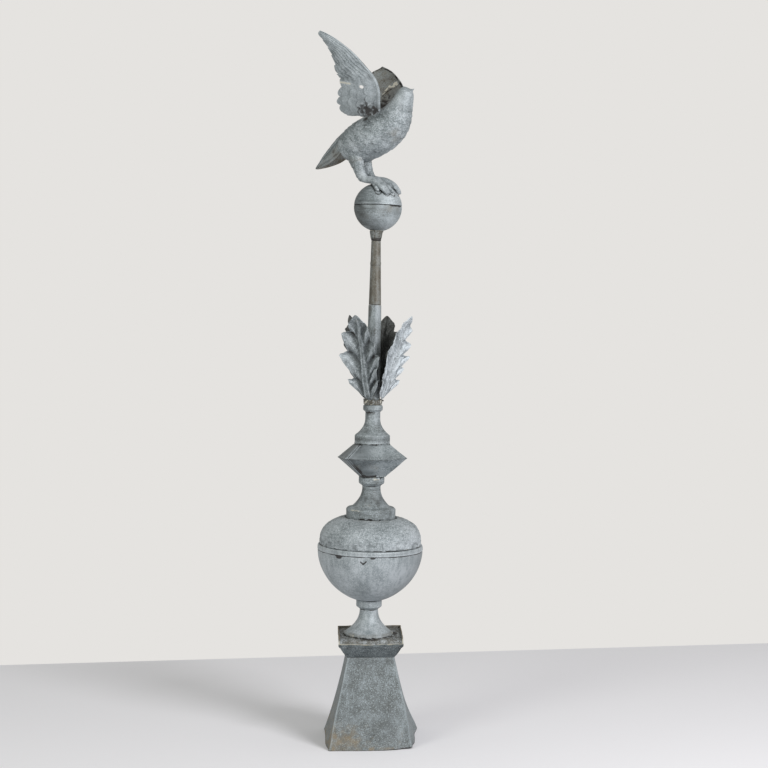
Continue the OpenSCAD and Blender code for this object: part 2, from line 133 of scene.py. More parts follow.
class FinialSizes(bpy.types.PropertyGroup):
    sheet: length_prop("Sheet", "Thickness of the folded and stamped zinc sheet", 1.2, 4)
    seam_w: length_prop("Seam width", "Width of the soldered lap seams", 3.2, 10)
    seam_h: length_prop("Seam height", "Height of the soldered lap seams", 1.1, 4)
    dent: length_prop("Dent", "Depth of the shallow dents in the pedestal", 2.2, 8)
    crush: length_prop("Crushed corner", "How far the pedestal's front right corner is pushed in", 22, 40)
    lip_drop: length_prop("Lip drop", "How far the cap's front rim is bent down", 16.5, 20)
    rib_h: length_prop("Rib height", "Height of a leaf's middle rib", 3.2, 8)
    lobe_h: length_prop("Lobe height", "Swell of a leaf's lobes between their hollows", 7.5, 14)
    feather: length_prop("Feather length", "Length of a feather on the fullest part of the body", 21, 40)
    feather_h: length_prop("Feather relief", "Height of the stamped feathers", 2.4, 5)
    quill_h: length_prop("Quill relief", "Height of the long wing feathers", 2.8, 6)
    rib_count: IntProperty(
        name="Cup ribs", description="Ribs round the cup under the small ball", default=26, min=8, max=60)
    bead: length_prop("Solder bead", "Size of the solder drops along the joints", 2.6, 8)


class FinialColours(bpy.types.PropertyGroup):
    pale: colour_prop("Pale zinc", "Chalky bloom on the old zinc", "#b2b9be")
    grey: colour_prop("Grey zinc", "Weathered zinc sheet", "#8b9498")
    dark: colour_prop("Dark zinc", "Zinc in the damp hollows", "#5b6366")
    soot: colour_prop("Soot", "Dirt in seams and crevices", "#25211f")
    cream: colour_prop("Worn edge", "Rubbed and torn edges", "#d3d0c2")
    ochre: colour_prop("Ochre stain", "Water stain from the solder and mortar", "#8b7a5c")
    brown: colour_prop("Brown oxide", "Brown oxide on the stem and the wings' inner faces", "#6b665b")
    floor: colour_prop("Floor", "Pale studio floor", "#efeff4")


def mm(length):
    return length / MM


# ---------------------------------------------------------------- shaping
def grain(p, size, seed):
    """A smooth uneven field from -1 to 1 over points p, with lumps about size mm across."""
    q = p / size + 11.7 + seed * 3.17
    cell = np.floor(q).astype(np.int64)
    f = q - cell
    f = f * f * (3 - 2 * f)
    total = 0
    for dx in (0, 1):
        for dy in (0, 1):
            for dz in (0, 1):
                n = (
                    (cell[..., 0] + dx) * 73856093
                    ^ (cell[..., 1] + dy) * 19349663
                    ^ (cell[..., 2] + dz) * 83492791
                    ^ (seed + 1) * 2654435
                )
                n = (n ^ (n >> 13)) * 1274126177 & 0xFFFFFFFF
                n = n ^ (n >> 15)
                w = (f[..., 0] if dx else 1 - f[..., 0]) * (f[..., 1] if dy else 1 - f[..., 1])
                w = w * (f[..., 2] if dz else 1 - f[..., 2])
                total = total + w * ((n & 0xFFFF) / 32767.5 - 1)
    return total


def ease(x, low, high):
    """0 below low, 1 above high and a smooth rise between."""
    t = np.clip((x - low) / (high - low), 0, 1)
    return t * t * (3 - 2 * t)


def hump(x, width):
    """1 where x is 0, falling away on both sides over a width."""
    return np.exp(-((x / width) ** 2))


def patchy(p, size, seed):
    """The uneven field from 0 to 1."""
    return 0.5 + 0.5 * grain(p, size, seed)


def flecks(p, size, seed, low, high):
    """Separate flecks of the uneven field: 0 where it is below low, 1 where it is above high."""
    return ease(grain(p, size, seed), low, high)


def away_from(p, centre, stretch):
    """Distance from a centre in mm, with each axis stretched."""
    return np.linalg.norm((p - centre) * stretch, axis=-1)


def circle(count):
    """Angles evenly spaced round the axis."""
    return np.arange(count) * 2 * math.pi / count


def through(stations, steps):
    """A smooth line through stations, with so many steps between neighbours."""
    p = np.asarray(stations, float)
    n = len(p) - 1
    out = []
    for i in range(n):
        a, b, c, d = p[max(i - 1, 0)], p[i], p[i + 1], p[min(i + 2, n)]
        for j in range(steps):
            t = j / steps
            out.append(
                0.5 * (
                    2 * b + (c - a) * t + (2 * a - 5 * b + 4 * c - d) * t * t
                    + (3 * b - a - 3 * c + d) * t**3))
    out.append(p[n])
    return np.array(out)


def read_off(stations, steps, x):
    """Heights at x of the smooth line through stations, each one a pair of x and height."""
    p = through(stations, steps)
    return np.interp(x, p[:, 0], p[:, 1])


def facing(grid, ring):
    """Unit normals of a grid of points; ring says that its columns close on themselves."""
    along = np.gradient(grid, axis=0)
    if ring:
        across = (np.roll(grid, -1, 1) - np.roll(grid, 1, 1)) / 2
    else:
        across = np.gradient(grid, axis=1)
    n = np.cross(across, along)
    return n / np.maximum(np.linalg.norm(n, axis=-1, keepdims=True), 1e-9)


def quads(rows, cols, ring, keep=None):
    out = []
    for i in range(rows - 1):
        for j in range(cols if ring else cols - 1):
            if keep is not None and not keep[i, j]:
                continue
            k = (j + 1) % cols
            out.append((i * cols + j, i * cols + k, (i + 1) * cols + k, (i + 1) * cols + j))
    return out


def shell(outer, inner, ring, keep=None):
    """Points and faces of a sheet between two grids, closed along each of its edges.

    The last part returned says which faces lie on the inner side.
    """
    rows, cols = outer.shape[:2]
    front = quads(rows, cols, ring, keep)
    base = rows * cols
    back = [tuple(base + v for v in reversed(f)) for f in front]
    sides = {}
    for f in front:
        for a, b in zip(f, f[1:] + f[:1]):
            if (b, a) in sides:
                del sides[(b, a)]
            else:
                sides[(a, b)] = True
    rim = [(b, a, base + a, base + b) for a, b in sides]
    points = np.concatenate([outer.reshape(-1, 3), inner.reshape(-1, 3)])
    return points, front + back + rim, [0] * len(front) + [1] * len(back) + [0] * len(rim)


def closed(grid):
    """Points and faces of a ring grid whose two ends close on a pole."""
    rows, cols = grid.shape[:2]
    points = np.concatenate([grid.reshape(-1, 3), [grid[0].mean(0)], [grid[-1].mean(0)]])
    faces = quads(rows, cols, True)
    low, high = rows * cols, rows * cols + 1
    top = (rows - 1) * cols
    for j in range(cols):
        k = (j + 1) % cols
        faces.append((low, k, j))
        faces.append((high, top + j, top + k))
    return points, faces


def ends(values):
    """Values of a closed grid's points, its two poles included."""
    return np.concatenate([values.ravel(), [values[0].mean()], [values[-1].mean()]])


def poled(**marks):
    """Marks of a closed grid."""
    return {key: ends(values) for key, values in marks.items()}


def lined(**marks):
    """Marks of a sheet, each given as its outer and its inner side."""
    return {key: np.concatenate([outer.ravel(), inner.ravel()]) for key, (outer, inner) in marks.items()}


def hand_over(name, mesh, nodes):
    """The finished piece's object: its body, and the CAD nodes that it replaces."""
    thing = bpy.data.objects.new(name, mesh)
    bpy.context.scene.collection.objects.link(thing)
    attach(thing, "root")
    if nodes:
        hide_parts(*nodes)


def stand(name, points, faces, place, materials, nodes, marks, sides=None, crisp=40):
    """Makes a piece from points in millimetres. sides holds the number of each face's material."""
    mesh = bpy.data.meshes.new(name)
    world = (points @ place[:3, :3].T + place[:3, 3]) * MM
    mesh.from_pydata(world.tolist(), [], faces)
    for m in materials:
        mesh.materials.append(m)
    if sides is not None:
        mesh.polygons.foreach_set("material_index", sides)
    for key, values in marks.items():
        layer = mesh.attributes.new(key, "FLOAT", "POINT")
        layer.data.foreach_set("value", np.clip(values, 0, 1).astype(np.float32))
    used = np.zeros(len(mesh.vertices), bool)
    for p in mesh.polygons:
        used[list(p.vertices)] = True
    if not used.all():
        bm = bmesh.new()
        bm.from_mesh(mesh)
        bmesh.ops.delete(bm, geom=[v for v in bm.verts if not v.link_faces], context="VERTS")
        bm.to_mesh(mesh)
        bm.free()
    mesh.validate()
    mesh.shade_smooth()
    mesh.set_sharp_from_angle(angle=math.radians(crisp))
    hand_over(name, mesh, nodes)


# -------------------------------------------------------------- materials
def add(tree, kind, sockets=None, **settings):
    """Adds a node. A socket's value is a number, a colour, a node for its first output, or an output."""
    node = tree.nodes.new(kind)
    for key, value in settings.items():
        setattr(node, key, value)
    for key, value in (sockets or {}).items():
        if isinstance(value, bpy.types.Node):
            value = value.outputs[0]
        if isinstance(value, bpy.types.NodeSocket):
            tree.links.new(value, node.inputs[key])
        else:
            node.inputs[key].default_value = value
    return node


def shade(rgb, k):
    """A colour made lighter or darker."""
    return tuple(min(c * k, 1) for c in rgb)


def weathered_zinc(name, light, mid, deep, stain, blotch=42, speck=2.6, specks=0.5, pits=0.35,
                   streaks=0.0, rings=0.0, rough=0.62, bump=0.35, metal=0.25):
    """Old zinc sheet, rolled and stamped, then dulled by a carbonate bloom.

    The carbonate coat leaves it matt and uneven: cloudy patches tens of mm across,
    chalk-white specks and dark pits of 1 to 3 mm, rain streaks down the upright
    faces, and fine rings where a piece was spun. Five marks on the mesh place
    the rest: painted shade with damp mottling where a form is sunk or turned from
    the light, painted highlight with chalk where it stands out or faces the light,
    grime in the crevices, wear on the edges, stain where water ran.
    """
    colours = bpy.context.scene.finial_colours
    made = bpy.data.materials.new(name)
    made.use_nodes = True
    tree = made.node_tree
    tree.nodes.clear()
    xyz = add(tree, "ShaderNodeTexCoord").outputs["Object"]
    # Clouds of bloom, in patches of the given size in mm.
    cloud = add(tree, "ShaderNodeTexNoise", {
        "Vector": xyz, "Scale": 1000 / blotch, "Detail": 4.0, "Roughness": 0.6})
    # Grains of the bloom: 1 mm in life, drawn at 2 to 3 mm so that they show.
    fine = add(tree, "ShaderNodeTexNoise", {
        "Vector": xyz, "Scale": 1000 / speck, "Detail": 2.0, "Roughness": 0.65})
    tone = add(tree, "ShaderNodeMath", {0: cloud, 1: 0.5}, operation="MULTIPLY")
    tone = add(tree, "ShaderNodeMath", {0: fine, 1: 0.5, 2: tone}, operation="MULTIPLY_ADD")
    # Rain streaks 9 mm apart run down the piece; spinning rings 3 mm apart run round it.
    for amount, stretch, size in ((streaks, (1, 1, 0.07), 9), (rings, (0.16, 0.16, 1), 3)):
        if amount:
            long = add(tree, "ShaderNodeMapping", {"Vector": xyz, "Scale": stretch})
            run = add(tree, "ShaderNodeTexNoise", {
                "Vector": long, "Scale": 1000 / size, "Detail": 3.0, "Roughness": 0.55})
            run = add(tree, "ShaderNodeMath", {0: run, 1: 0.5}, operation="SUBTRACT")
            tone = add(tree, "ShaderNodeMath", {0: run, 1: amount, 2: tone}, operation="MULTIPLY_ADD")
    ramp = add(tree, "ShaderNodeValToRGB", {"Fac": tone})
    ramp.color_ramp.elements[0].position = 0.39
    ramp.color_ramp.elements[0].color = (*deep, 1)
    ramp.color_ramp.elements[1].position = 0.61
    ramp.color_ramp.elements[1].color = (*light, 1)
    ramp.color_ramp.elements.new(0.5).color = (*mid, 1)
    colour = ramp.outputs[0]
    # Chalk specks 2.6 mm apart, and dark pits 4 mm apart.
    chalk = add(tree, "ShaderNodeTexNoise", {"Vector": xyz, "Scale": 1000 / 2.6, "Detail": 1.0})
    chalk = add(tree, "ShaderNodeMapRange", {
        "Value": chalk, "From Min": 0.56, "From Max": 0.72, "To Max": specks})
    colour = add(tree, "ShaderNodeMix", {
        0: chalk, 6: colour, 7: (*shade(light, 1.3), 1)}, data_type="RGBA").outputs[2]
    pit = add(tree, "ShaderNodeTexNoise", {
        "Vector": xyz, "Scale": 1000 / 4.0, "Detail": 2.0, "Distortion": 0.4})
    pit = add(tree, "ShaderNodeMapRange", {"Value": pit, "From Min": 0.42, "From Max": 0.28, "To Max": pits})
    colour = add(tree, "ShaderNodeMix", {
        0: pit, 6: colour, 7: (*shade(deep, 0.45), 1)}, data_type="RGBA").outputs[2]
    # Sunk forms and shaded sides get painted shade with some damp mottling; raised forms and lit sides get
    # painted highlights with some chalk.
    for mark, paint, most in (("hollow", shade(deep, 0.36), 0.9), ("bloom", shade(light, 1.28), 0.75)):
        here = add(tree, "ShaderNodeAttribute", attribute_name=mark)
        grainy = add(tree, "ShaderNodeMapRange", {
            "Value": fine, "From Min": 0.3, "From Max": 0.6, "To Min": 0.45 * most, "To Max": most})
        part = add(tree, "ShaderNodeMath", {0: here.outputs["Fac"], 1: grainy}, operation="MULTIPLY")
        colour = add(tree, "ShaderNodeMix", {0: part, 6: colour, 7: (*paint, 1)}, data_type="RGBA").outputs[2]
    # The other marks' edges are broken up at 7 mm.
    ragged = add(tree, "ShaderNodeTexNoise", {
        "Vector": xyz, "Scale": 1000 / 7, "Detail": 4.0, "Roughness": 0.65})
    for mark, paint, low, high, most in (
        ("stain", stain, 0.2, 1.0, 0.62),
        ("wear", colours.cream, 0.5, 0.85, 0.8),
        ("grime", colours.soot, 0.42, 0.8, 0.93),
    ):
        here = add(tree, "ShaderNodeAttribute", attribute_name=mark)
        broken = add(tree, "ShaderNodeMath", {
            0: ragged, 1: 0.8, 2: here.outputs["Fac"]}, operation="MULTIPLY_ADD")
        broken = add(tree, "ShaderNodeMath", {0: broken, 1: 0.33}, operation="SUBTRACT")
        amount = add(tree, "ShaderNodeMapRange", {
            "Value": broken, "From Min": low, "From Max": high, "To Max": most
        }, interpolation_type="SMOOTHSTEP")
        colour = add(tree, "ShaderNodeMix", {
            0: amount, 6: colour, 7: (*paint, 1)}, data_type="RGBA").outputs[2]
    dull = add(tree, "ShaderNodeMapRange", {
        "Value": tone, "From Min": 0.35, "From Max": 0.65, "To Min": rough - 0.1, "To Max": rough + 0.12})
    # The grains and pits stand up to 0.3 mm.
    height = add(tree, "ShaderNodeMath", {0: pit, 1: -0.7, 2: fine}, operation="MULTIPLY_ADD")
    relief = add(tree, "ShaderNodeBump", {"Strength": bump, "Distance": 0.6 * MM, "Height": height})
    shader = add(tree, "ShaderNodeBsdfPrincipled", {
        "Base Color": colour, "Roughness": dull, "Metallic": metal, "Normal": relief,
    })
    add(tree, "ShaderNodeOutputMaterial", {"Surface": shader})
    return made


FINISHES = {}


def finish(name):
    """The object's own finishes, each made once."""
    if name in FINISHES:
        return FINISHES[name]
    c = bpy.context.scene.finial_colours
    pale, grey, dark, ochre, brown = (tuple(x) for x in (c.pale, c.grey, c.dark, c.ochre, c.brown))

    def mixed(a, b, t):
        return tuple(x + (y - x) * t for x, y in zip(a, b))

    kinds = {
        # Folded sheet, the oldest and most speckled of the finial.
        "zinc_sheet_folded_speckled": dict(
            light=mixed(grey, pale, 0.1), mid=mixed(mixed(dark, grey, 0.38), brown, 0.14),
            deep=mixed(dark, brown, 0.25), stain=ochre,
            blotch=24, speck=2.8, specks=1.0, pits=0.6, rough=0.6, metal=0.35),
        # The cap's tray, full of grit and dried dirt, and its sides, much darker.
        "zinc_tray_gritty": dict(
            light=shade(pale, 1.15), mid=mixed(dark, brown, 0.35),
            deep=shade(brown, 0.4), stain=brown,
            blotch=12, speck=2.8, specks=1.0, pits=0.9, rough=0.75),
        "zinc_sheet_folded_dark": dict(
            light=mixed(dark, grey, 0.5), mid=shade(dark, 0.93),
            deep=shade(dark, 0.5), stain=ochre,
            blotch=26, specks=0.6, pits=0.6, rough=0.66),
        # Spun and stamped pieces rubbed nearly clean by the rain.
        "zinc_spun_pale": dict(
            light=pale, mid=mixed(grey, pale, 0.35),
            deep=mixed(dark, grey, 0.75), stain=brown,
            blotch=80, specks=0.2, pits=0.12, streaks=0.35, rings=0.12, rough=0.52, bump=0.25),
        # The upper side of the ball, rough with a thick bloom.
        "zinc_spun_rough": dict(
            light=shade(pale, 1.05), mid=mixed(grey, pale, 0.35),
            deep=mixed(dark, grey, 0.45), stain=brown,
            blotch=90, speck=2.6, specks=0.45, pits=0.5, rings=0.2, rough=0.72, bump=0.8),
        "zinc_spun_grey": dict(
            light=mixed(grey, pale, 0.45), mid=mixed(mixed(dark, grey, 0.75), brown, 0.05),
            deep=mixed(dark, brown, 0.2), stain=ochre,
            blotch=34, specks=0.4, pits=0.35, streaks=0.2, rings=0.25, rough=0.6),
        "zinc_sheet_lozenge": dict(
            light=mixed(grey, pale, 0.55), mid=mixed(grey, pale, 0.08),
            deep=mixed(dark, grey, 0.05), stain=ochre,
            blotch=48, specks=0.35, pits=0.45, rough=0.55),
        # Stamped leaves with a chalk-white carbonate coat outside, brown oxide inside; the first is a paler
        # copy, painted lit, for the leaf that faces the brighter lamp.
        "zinc_stamped_leaf_painted_lit": dict(
            light=shade(pale, 1.28), mid=mixed(grey, pale, 1.1),
            deep=mixed(dark, grey, 0.7), stain=brown,
            blotch=16, speck=2.4, specks=1.0, pits=0.5, rough=0.66, bump=0.8),
        "zinc_stamped_leaf": dict(
            light=mixed(grey, pale, 0.85), mid=mixed(mixed(dark, grey, 0.75), brown, 0.06),
            deep=mixed(dark, grey, 0.1), stain=brown,
            blotch=14, speck=2.4, specks=1.0, pits=0.6, rough=0.64, bump=0.8),
        "zinc_stamped_leaf_inside": dict(
            light=mixed(dark, brown, 0.3), mid=shade(mixed(dark, brown, 0.4), 0.45),
            deep=shade(mixed(dark, brown, 0.4), 0.2), stain=brown,
            blotch=30, specks=0.12, pits=0.4, rough=0.8, metal=0.0),
        "zinc_tube_streaked": dict(
            light=mixed(grey, pale, 0.45), mid=shade(grey, 0.88),
            deep=mixed(dark, brown, 0.35), stain=brown,
            blotch=40, specks=0.2, pits=0.2, streaks=0.5, rough=0.5),
        "zinc_tube_brown": dict(
            light=mixed(grey, brown, 0.4), mid=shade(mixed(dark, brown, 0.6), 0.92),
            deep=shade(brown, 0.5), stain=brown,
            blotch=30, specks=0.25, pits=0.3, streaks=0.6, rough=0.55),
        "solder_oxidised": dict(
            light=mixed(grey, brown, 0.4), mid=shade(brown, 0.6),
            deep=shade(brown, 0.22), stain=ochre,
            blotch=12, specks=0.8, pits=0.6, rough=0.6, bump=0.8),
        "zinc_spun_mottled": dict(
            light=mixed(grey, pale, 0.3), mid=mixed(dark, grey, 0.55),
            deep=mixed(dark, brown, 0.3), stain=brown,
            blotch=24, specks=0.3, pits=0.5, rings=0.35, rough=0.58),
        "zinc_spun_brushed": dict(
            light=mixed(grey, pale, 0.8), mid=mixed(dark, grey, 0.95),
            deep=mixed(dark, grey, 0.3), stain=brown,
            blotch=40, specks=0.25, pits=0.25, rings=0.45, rough=0.58),
        # The bird's stamped halves, finely speckled.
        "zinc_stamped_bird": dict(
            light=mixed(grey, pale, 0.85), mid=mixed(dark, grey, 0.8),
            deep=mixed(dark, grey, 0.1), stain=brown,
            blotch=28, speck=2.2, specks=0.6, pits=0.4, rough=0.6, bump=0.6),
        "zinc_stamped_wing": dict(
            light=mixed(grey, pale, 0.7), mid=mixed(dark, grey, 0.95),
            deep=mixed(dark, grey, 0.3), stain=ochre,
            blotch=34, speck=2.2, specks=0.5, pits=0.3, rough=0.6, bump=0.6),
        # The tail's underside: pale brown, and made brighter than the zinc so that it looks lit where the
        # lamps hardly reach, as painted light.
        "zinc_stamped_tail_inside_painted_bright": dict(
            light=shade(pale, 1.2), mid=mixed(pale, brown, 0.25),
            deep=mixed(grey, brown, 0.5), stain=ochre,
            blotch=18, specks=0.6, pits=0.5, rough=0.7),
        "zinc_stamped_wing_inside": dict(
            light=mixed(grey, brown, 0.25), mid=mixed(grey, brown, 0.6),
            deep=shade(brown, 0.6), stain=ochre,
            blotch=26, specks=0.25, pits=0.5, rough=0.7),
    }
    FINISHES[name] = weathered_zinc(name, **kinds[name])
    return FINISHES[name]


# --------------------------------------------------------- turned pieces
def softened(profile, radius=1.6):
    """Rounds a profile's corners, so that a rolled edge catches the light."""
    p = [np.array(q, float) for q in profile]
    out = [p[0]]
    for a, b, c in zip(p, p[1:], p[2:]):
        la, lc = np.linalg.norm(a - b), np.linalg.norm(c - b)
        ua, uc = (a - b) / max(la, 1e-9), (c - b) / max(lc, 1e-9)
        if np.dot(ua, uc) < -0.97:
            out.append(b)
            continue
        d = min(radius, 0.35 * la, 0.35 * lc)
        for t in (0, 0.33, 0.67, 1):
            out.append((1 - t) ** 2 * (b + ua * d) + 2 * t * (1 - t) * b + t * t * (b + uc * d))
    out.append(p[-1])
    return np.array(out)


def spaced(profile, step):
    """Adds points so that no two neighbours stand further apart than step."""
    out = [profile[0]]
    for a, b in zip(profile, profile[1:]):
        n = max(1, int(math.ceil(np.linalg.norm(b - a) / step)))
        out.extend(a + (b - a) * k / n for k in range(1, n + 1))
    return np.array(out)


def bends(profile, reach=2.5):
    """How far each point of a profile stands on an edge (above 0) or in a hollow (below 0)."""
    d = np.diff(profile, axis=0)
    ang = np.unwrap(np.arctan2(d[:, 1], d[:, 0]))
    k = np.zeros(len(profile))
    k[1:-1] = np.diff(ang)
    s = np.concatenate([[0], np.cumsum(np.linalg.norm(d, axis=1))])
    w = np.exp(-(((s[:, None] - s[None]) / reach) ** 2))
    return w @ k


def hollow(r0, z0, r1, z1, n, power):
    t = np.linspace(0, 1, n + 1)
    return [(r1 + (r0 - r1) * (1 - x) ** power, z0 + (z1 - z0) * x) for x in t]


def turned(name, profile, place, at, kind, node, seed, dress, segs=144, wobble=0.5, step=3.0, edge=0.6):
    """A spun piece: its profile turned round the axis, a little out of true."""
    line = spaced(softened(profile), step)
    line = line[line[:, 0] > 0.5]
    a = circle(segs)
    rows = len(line)
    grid = np.zeros((rows, segs, 3))
    grid[..., 0] = line[:, 0, None] * np.cos(a)
    grid[..., 1] = line[:, 0, None] * np.sin(a)
    grid[..., 2] = line[:, 1, None]
    grid += np.array(at)
    n = facing(grid, True)
    inward = np.clip(line[:, 0] / 12, 0, 1)[:, None]
    push = (
        (grain(grid, 55, seed) * wobble + grain(grid, 14, seed + 5) * wobble * 0.25 - wobble * 0.4) * inward
    )
    k = np.repeat(bends(line)[:, None], segs, 1)
    patch = patchy(grid, 16, seed + 9)
    marks = {
        "wear": np.clip(k, 0, 1.2) * edge * patch,
        "grime": np.clip(-k, 0, 1.2) * 0.6 * (0.5 + patch),
        "stain": np.zeros_like(k),
    }
    extra = dress(grid - np.array(at), a, marks, patch)
    if extra is not None:
        push = push + extra
    grid = grid + n * push[..., None]
    points, faces = closed(grid)
    stand(name, points, faces, place, [finish(kind)], [node], poled(**marks))


def around(a, centre, width):
    """1 at an angle round the axis, falling away over a width, both in degrees. -90 faces the front."""
    d = (np.degrees(a) - centre + 180) % 360 - 180
    return hump(d, width)


# ---------------------------------------------------- four-sided pieces
INSET = [0, 1.1, 2.6, 5.6, 6.8, 8.0, 9.2, 11.5]


def four_sided(rows, mids=26, inset=INSET):
    """Rings of a square piece. rows holds pairs of half side and height.

    Returns the grid, each point's distance from the nearest arris, its place
    across the side from -1 to 1, and its side, counted from 0 at the front
    round by the right and the back to 3 at the left.
    """
    rows = np.array(rows, float)
    per = 2 * len(inset) + mids - 1
    grid = np.zeros((len(rows), 4 * per, 3))
    edge = np.zeros(grid.shape[:2])
    across = np.zeros(grid.shape[:2])
    side = np.zeros(grid.shape[:2], int)
    for i, (h, z) in enumerate(rows):
        d = np.minimum(inset, 0.45 * h * np.array(inset) / inset[-1])
        x = np.concatenate([-h + d, np.linspace(-h + d[-1], h - d[-1], mids + 2)[1:-1], (h - d)[::-1]])[:-1]
        for k in range(4):
            c, s = ((1, 0), (0, 1), (-1, 0), (0, -1))[k]
            j = slice(k * per, (k + 1) * per)
            grid[i, j, 0] = c * x + s * h
            grid[i, j, 1] = s * x - c * h
            grid[i, j, 2] = z
            edge[i, j] = h - np.abs(x)
            across[i, j] = x / max(h, 1e-6)
            side[i, j] = k
    return grid, edge, across, side


def side_way(side):
    """The level way out of each side."""
    out = np.zeros(side.shape + (3,))
    for k, way in enumerate(((0, -1), (1, 0), (0, 1), (-1, 0))):
        out[side == k, 0], out[side == k, 1] = way
    return out


# ------------------------------------------------------- repeated details
def group(name, inputs):
    """An empty geometry tree with named inputs and one mesh out."""
    tree = bpy.data.node_groups.new(name, "GeometryNodeTree")
    tree.interface.new_socket("Geometry", in_out="INPUT", socket_type="NodeSocketGeometry")
    for label, kind, default in inputs:
        socket = tree.interface.new_socket(label, in_out="INPUT", socket_type=kind)
        if default is not None:
            socket.default_value = default
    tree.interface.new_socket("Geometry", in_out="OUTPUT", socket_type="NodeSocketGeometry")
    return tree, add(tree, "NodeGroupInput"), add(tree, "NodeGroupOutput")


def finish_group(tree, geometry, given, out):
    real = add(tree, "GeometryNodeRealizeInstances", {"Geometry": geometry})
    painted = add(tree, "GeometryNodeSetMaterial", {"Geometry": real, "Material": given.outputs["Material"]})
    tree.links.new(painted.outputs[0], out.inputs[0])


def solder_drops_tree():
    """Drops of solder strung unevenly round a joint."""
    tree, given, out = group("solder_drops", [
        ("Joint radius", "NodeSocketFloat", 0.05), ("Drop size", "NodeSocketFloat", 0.0026),
        ("Count", "NodeSocketInt", 60), ("Seed", "NodeSocketInt", 1),
        ("Material", "NodeSocketMaterial", None)])
    ring = add(tree, "GeometryNodeCurvePrimitiveCircle", {
        "Resolution": 96, "Radius": given.outputs["Joint radius"]})
    points = add(tree, "GeometryNodeCurveToPoints", {
        "Curve": ring, "Count": given.outputs["Count"]}, mode="COUNT")
    stray = add(tree, "ShaderNodeMath", {0: given.outputs["Drop size"], 1: 0.8}, operation="MULTIPLY")
    back = add(tree, "ShaderNodeMath", {0: stray, 1: -1.0}, operation="MULTIPLY")
    low = add(tree, "ShaderNodeCombineXYZ", {0: back, 1: back, 2: back})
    high = add(tree, "ShaderNodeCombineXYZ", {0: stray, 1: stray, 2: stray})
    jitter = add(tree, "FunctionNodeRandomValue", {
        "Min": low, "Max": high, "Seed": given.outputs["Seed"]}, data_type="FLOAT_VECTOR")
    moved = add(tree, "GeometryNodeSetPosition", {"Geometry": points, "Offset": jitter})
    drop = add(tree, "GeometryNodeMeshIcoSphere", {"Radius": 1.0, "Subdivisions": 2})
    size = add(tree, "FunctionNodeRandomValue", {
        2: 0.35, 3: 1.0, "Seed": given.outputs["Seed"]}, data_type="FLOAT")
    size = add(tree, "ShaderNodeMath", {
        0: size.outputs[1], 1: given.outputs["Drop size"]}, operation="MULTIPLY")
    flat = add(tree, "ShaderNodeMath", {0: size, 1: 0.55}, operation="MULTIPLY")
    scale = add(tree, "ShaderNodeCombineXYZ", {0: size, 1: size, 2: flat})
    strung = add(tree, "GeometryNodeInstanceOnPoints", {"Points": moved, "Instance": drop, "Scale": scale})
    finish_group(tree, strung, given, out)
    return tree


def cup_ribs_tree():
    """Pressed ribs that stand round the cup and lean out with its wall."""
    tree, given, out = group("cup_ribs", [
        ("Count", "NodeSocketInt", 26), ("Radius", "NodeSocketFloat", 0.014),
        ("Rib width", "NodeSocketFloat", 0.001), ("Rib length", "NodeSocketFloat", 0.018),
        ("Lean out", "NodeSocketFloat", 0.15), ("Material", "NodeSocketMaterial", None)])
    ring = add(tree, "GeometryNodeMeshCircle", {
        "Vertices": given.outputs["Count"], "Radius": given.outputs["Radius"]})
    rib = add(tree, "GeometryNodeMeshCylinder", {
        "Vertices": 8, "Side Segments": 4, "Radius": given.outputs["Rib width"],
        "Depth": given.outputs["Rib length"]})
    number = add(tree, "GeometryNodeInputIndex")
    part = add(tree, "ShaderNodeMath", {0: number, 1: given.outputs["Count"]}, operation="DIVIDE")
    way = add(tree, "ShaderNodeMath", {0: part, 1: 2 * math.pi}, operation="MULTIPLY")
    spin = add(tree, "ShaderNodeCombineXYZ", {1: given.outputs["Lean out"], 2: way})
    stood = add(tree, "GeometryNodeInstanceOnPoints", {"Points": ring, "Instance": rib, "Rotation": spin})
    finish_group(tree, stood, given, out)
    return tree


def grown(name, tree, values, place, z):
    """Runs a tree, makes its result a plain mesh and puts it in place at a height."""
    seed = bpy.data.meshes.new(name + "_seed")
    carrier = bpy.data.objects.new(name + "_seed", seed)
    bpy.context.scene.collection.objects.link(carrier)
    work = carrier.modifiers.new("work", "NODES")
    work.node_group = tree
    for item in tree.interface.items_tree:
        if item.item_type == "SOCKET" and item.in_out == "INPUT" and item.name in values:
            work[item.identifier] = values[item.name]
    ready = carrier.evaluated_get(bpy.context.evaluated_depsgraph_get())
    mesh = bpy.data.meshes.new_from_object(ready)
    bpy.data.objects.remove(carrier)
    mesh.name = name
    put = place @ shift(0, 0, z)
    put[:3, 3] *= MM
    mesh.transform(Matrix(put))
    mesh.shade_smooth()
    hand_over(name, mesh, [])


TREES = {}


def drops(name, radius, z, place, count, seed, size=None):
    """Solder drops round a joint. The tree is made once and serves every joint."""
    if "drops" not in TREES:
        TREES["drops"] = solder_drops_tree()
    bead = bpy.context.scene.finial_sizes.bead if size is None else size * MM
    grown(name, TREES["drops"], {
        "Joint radius": radius * MM, "Drop size": bead, "Count": count, "Seed": seed,
        "Material": finish("solder_oxidised")}, place, z)


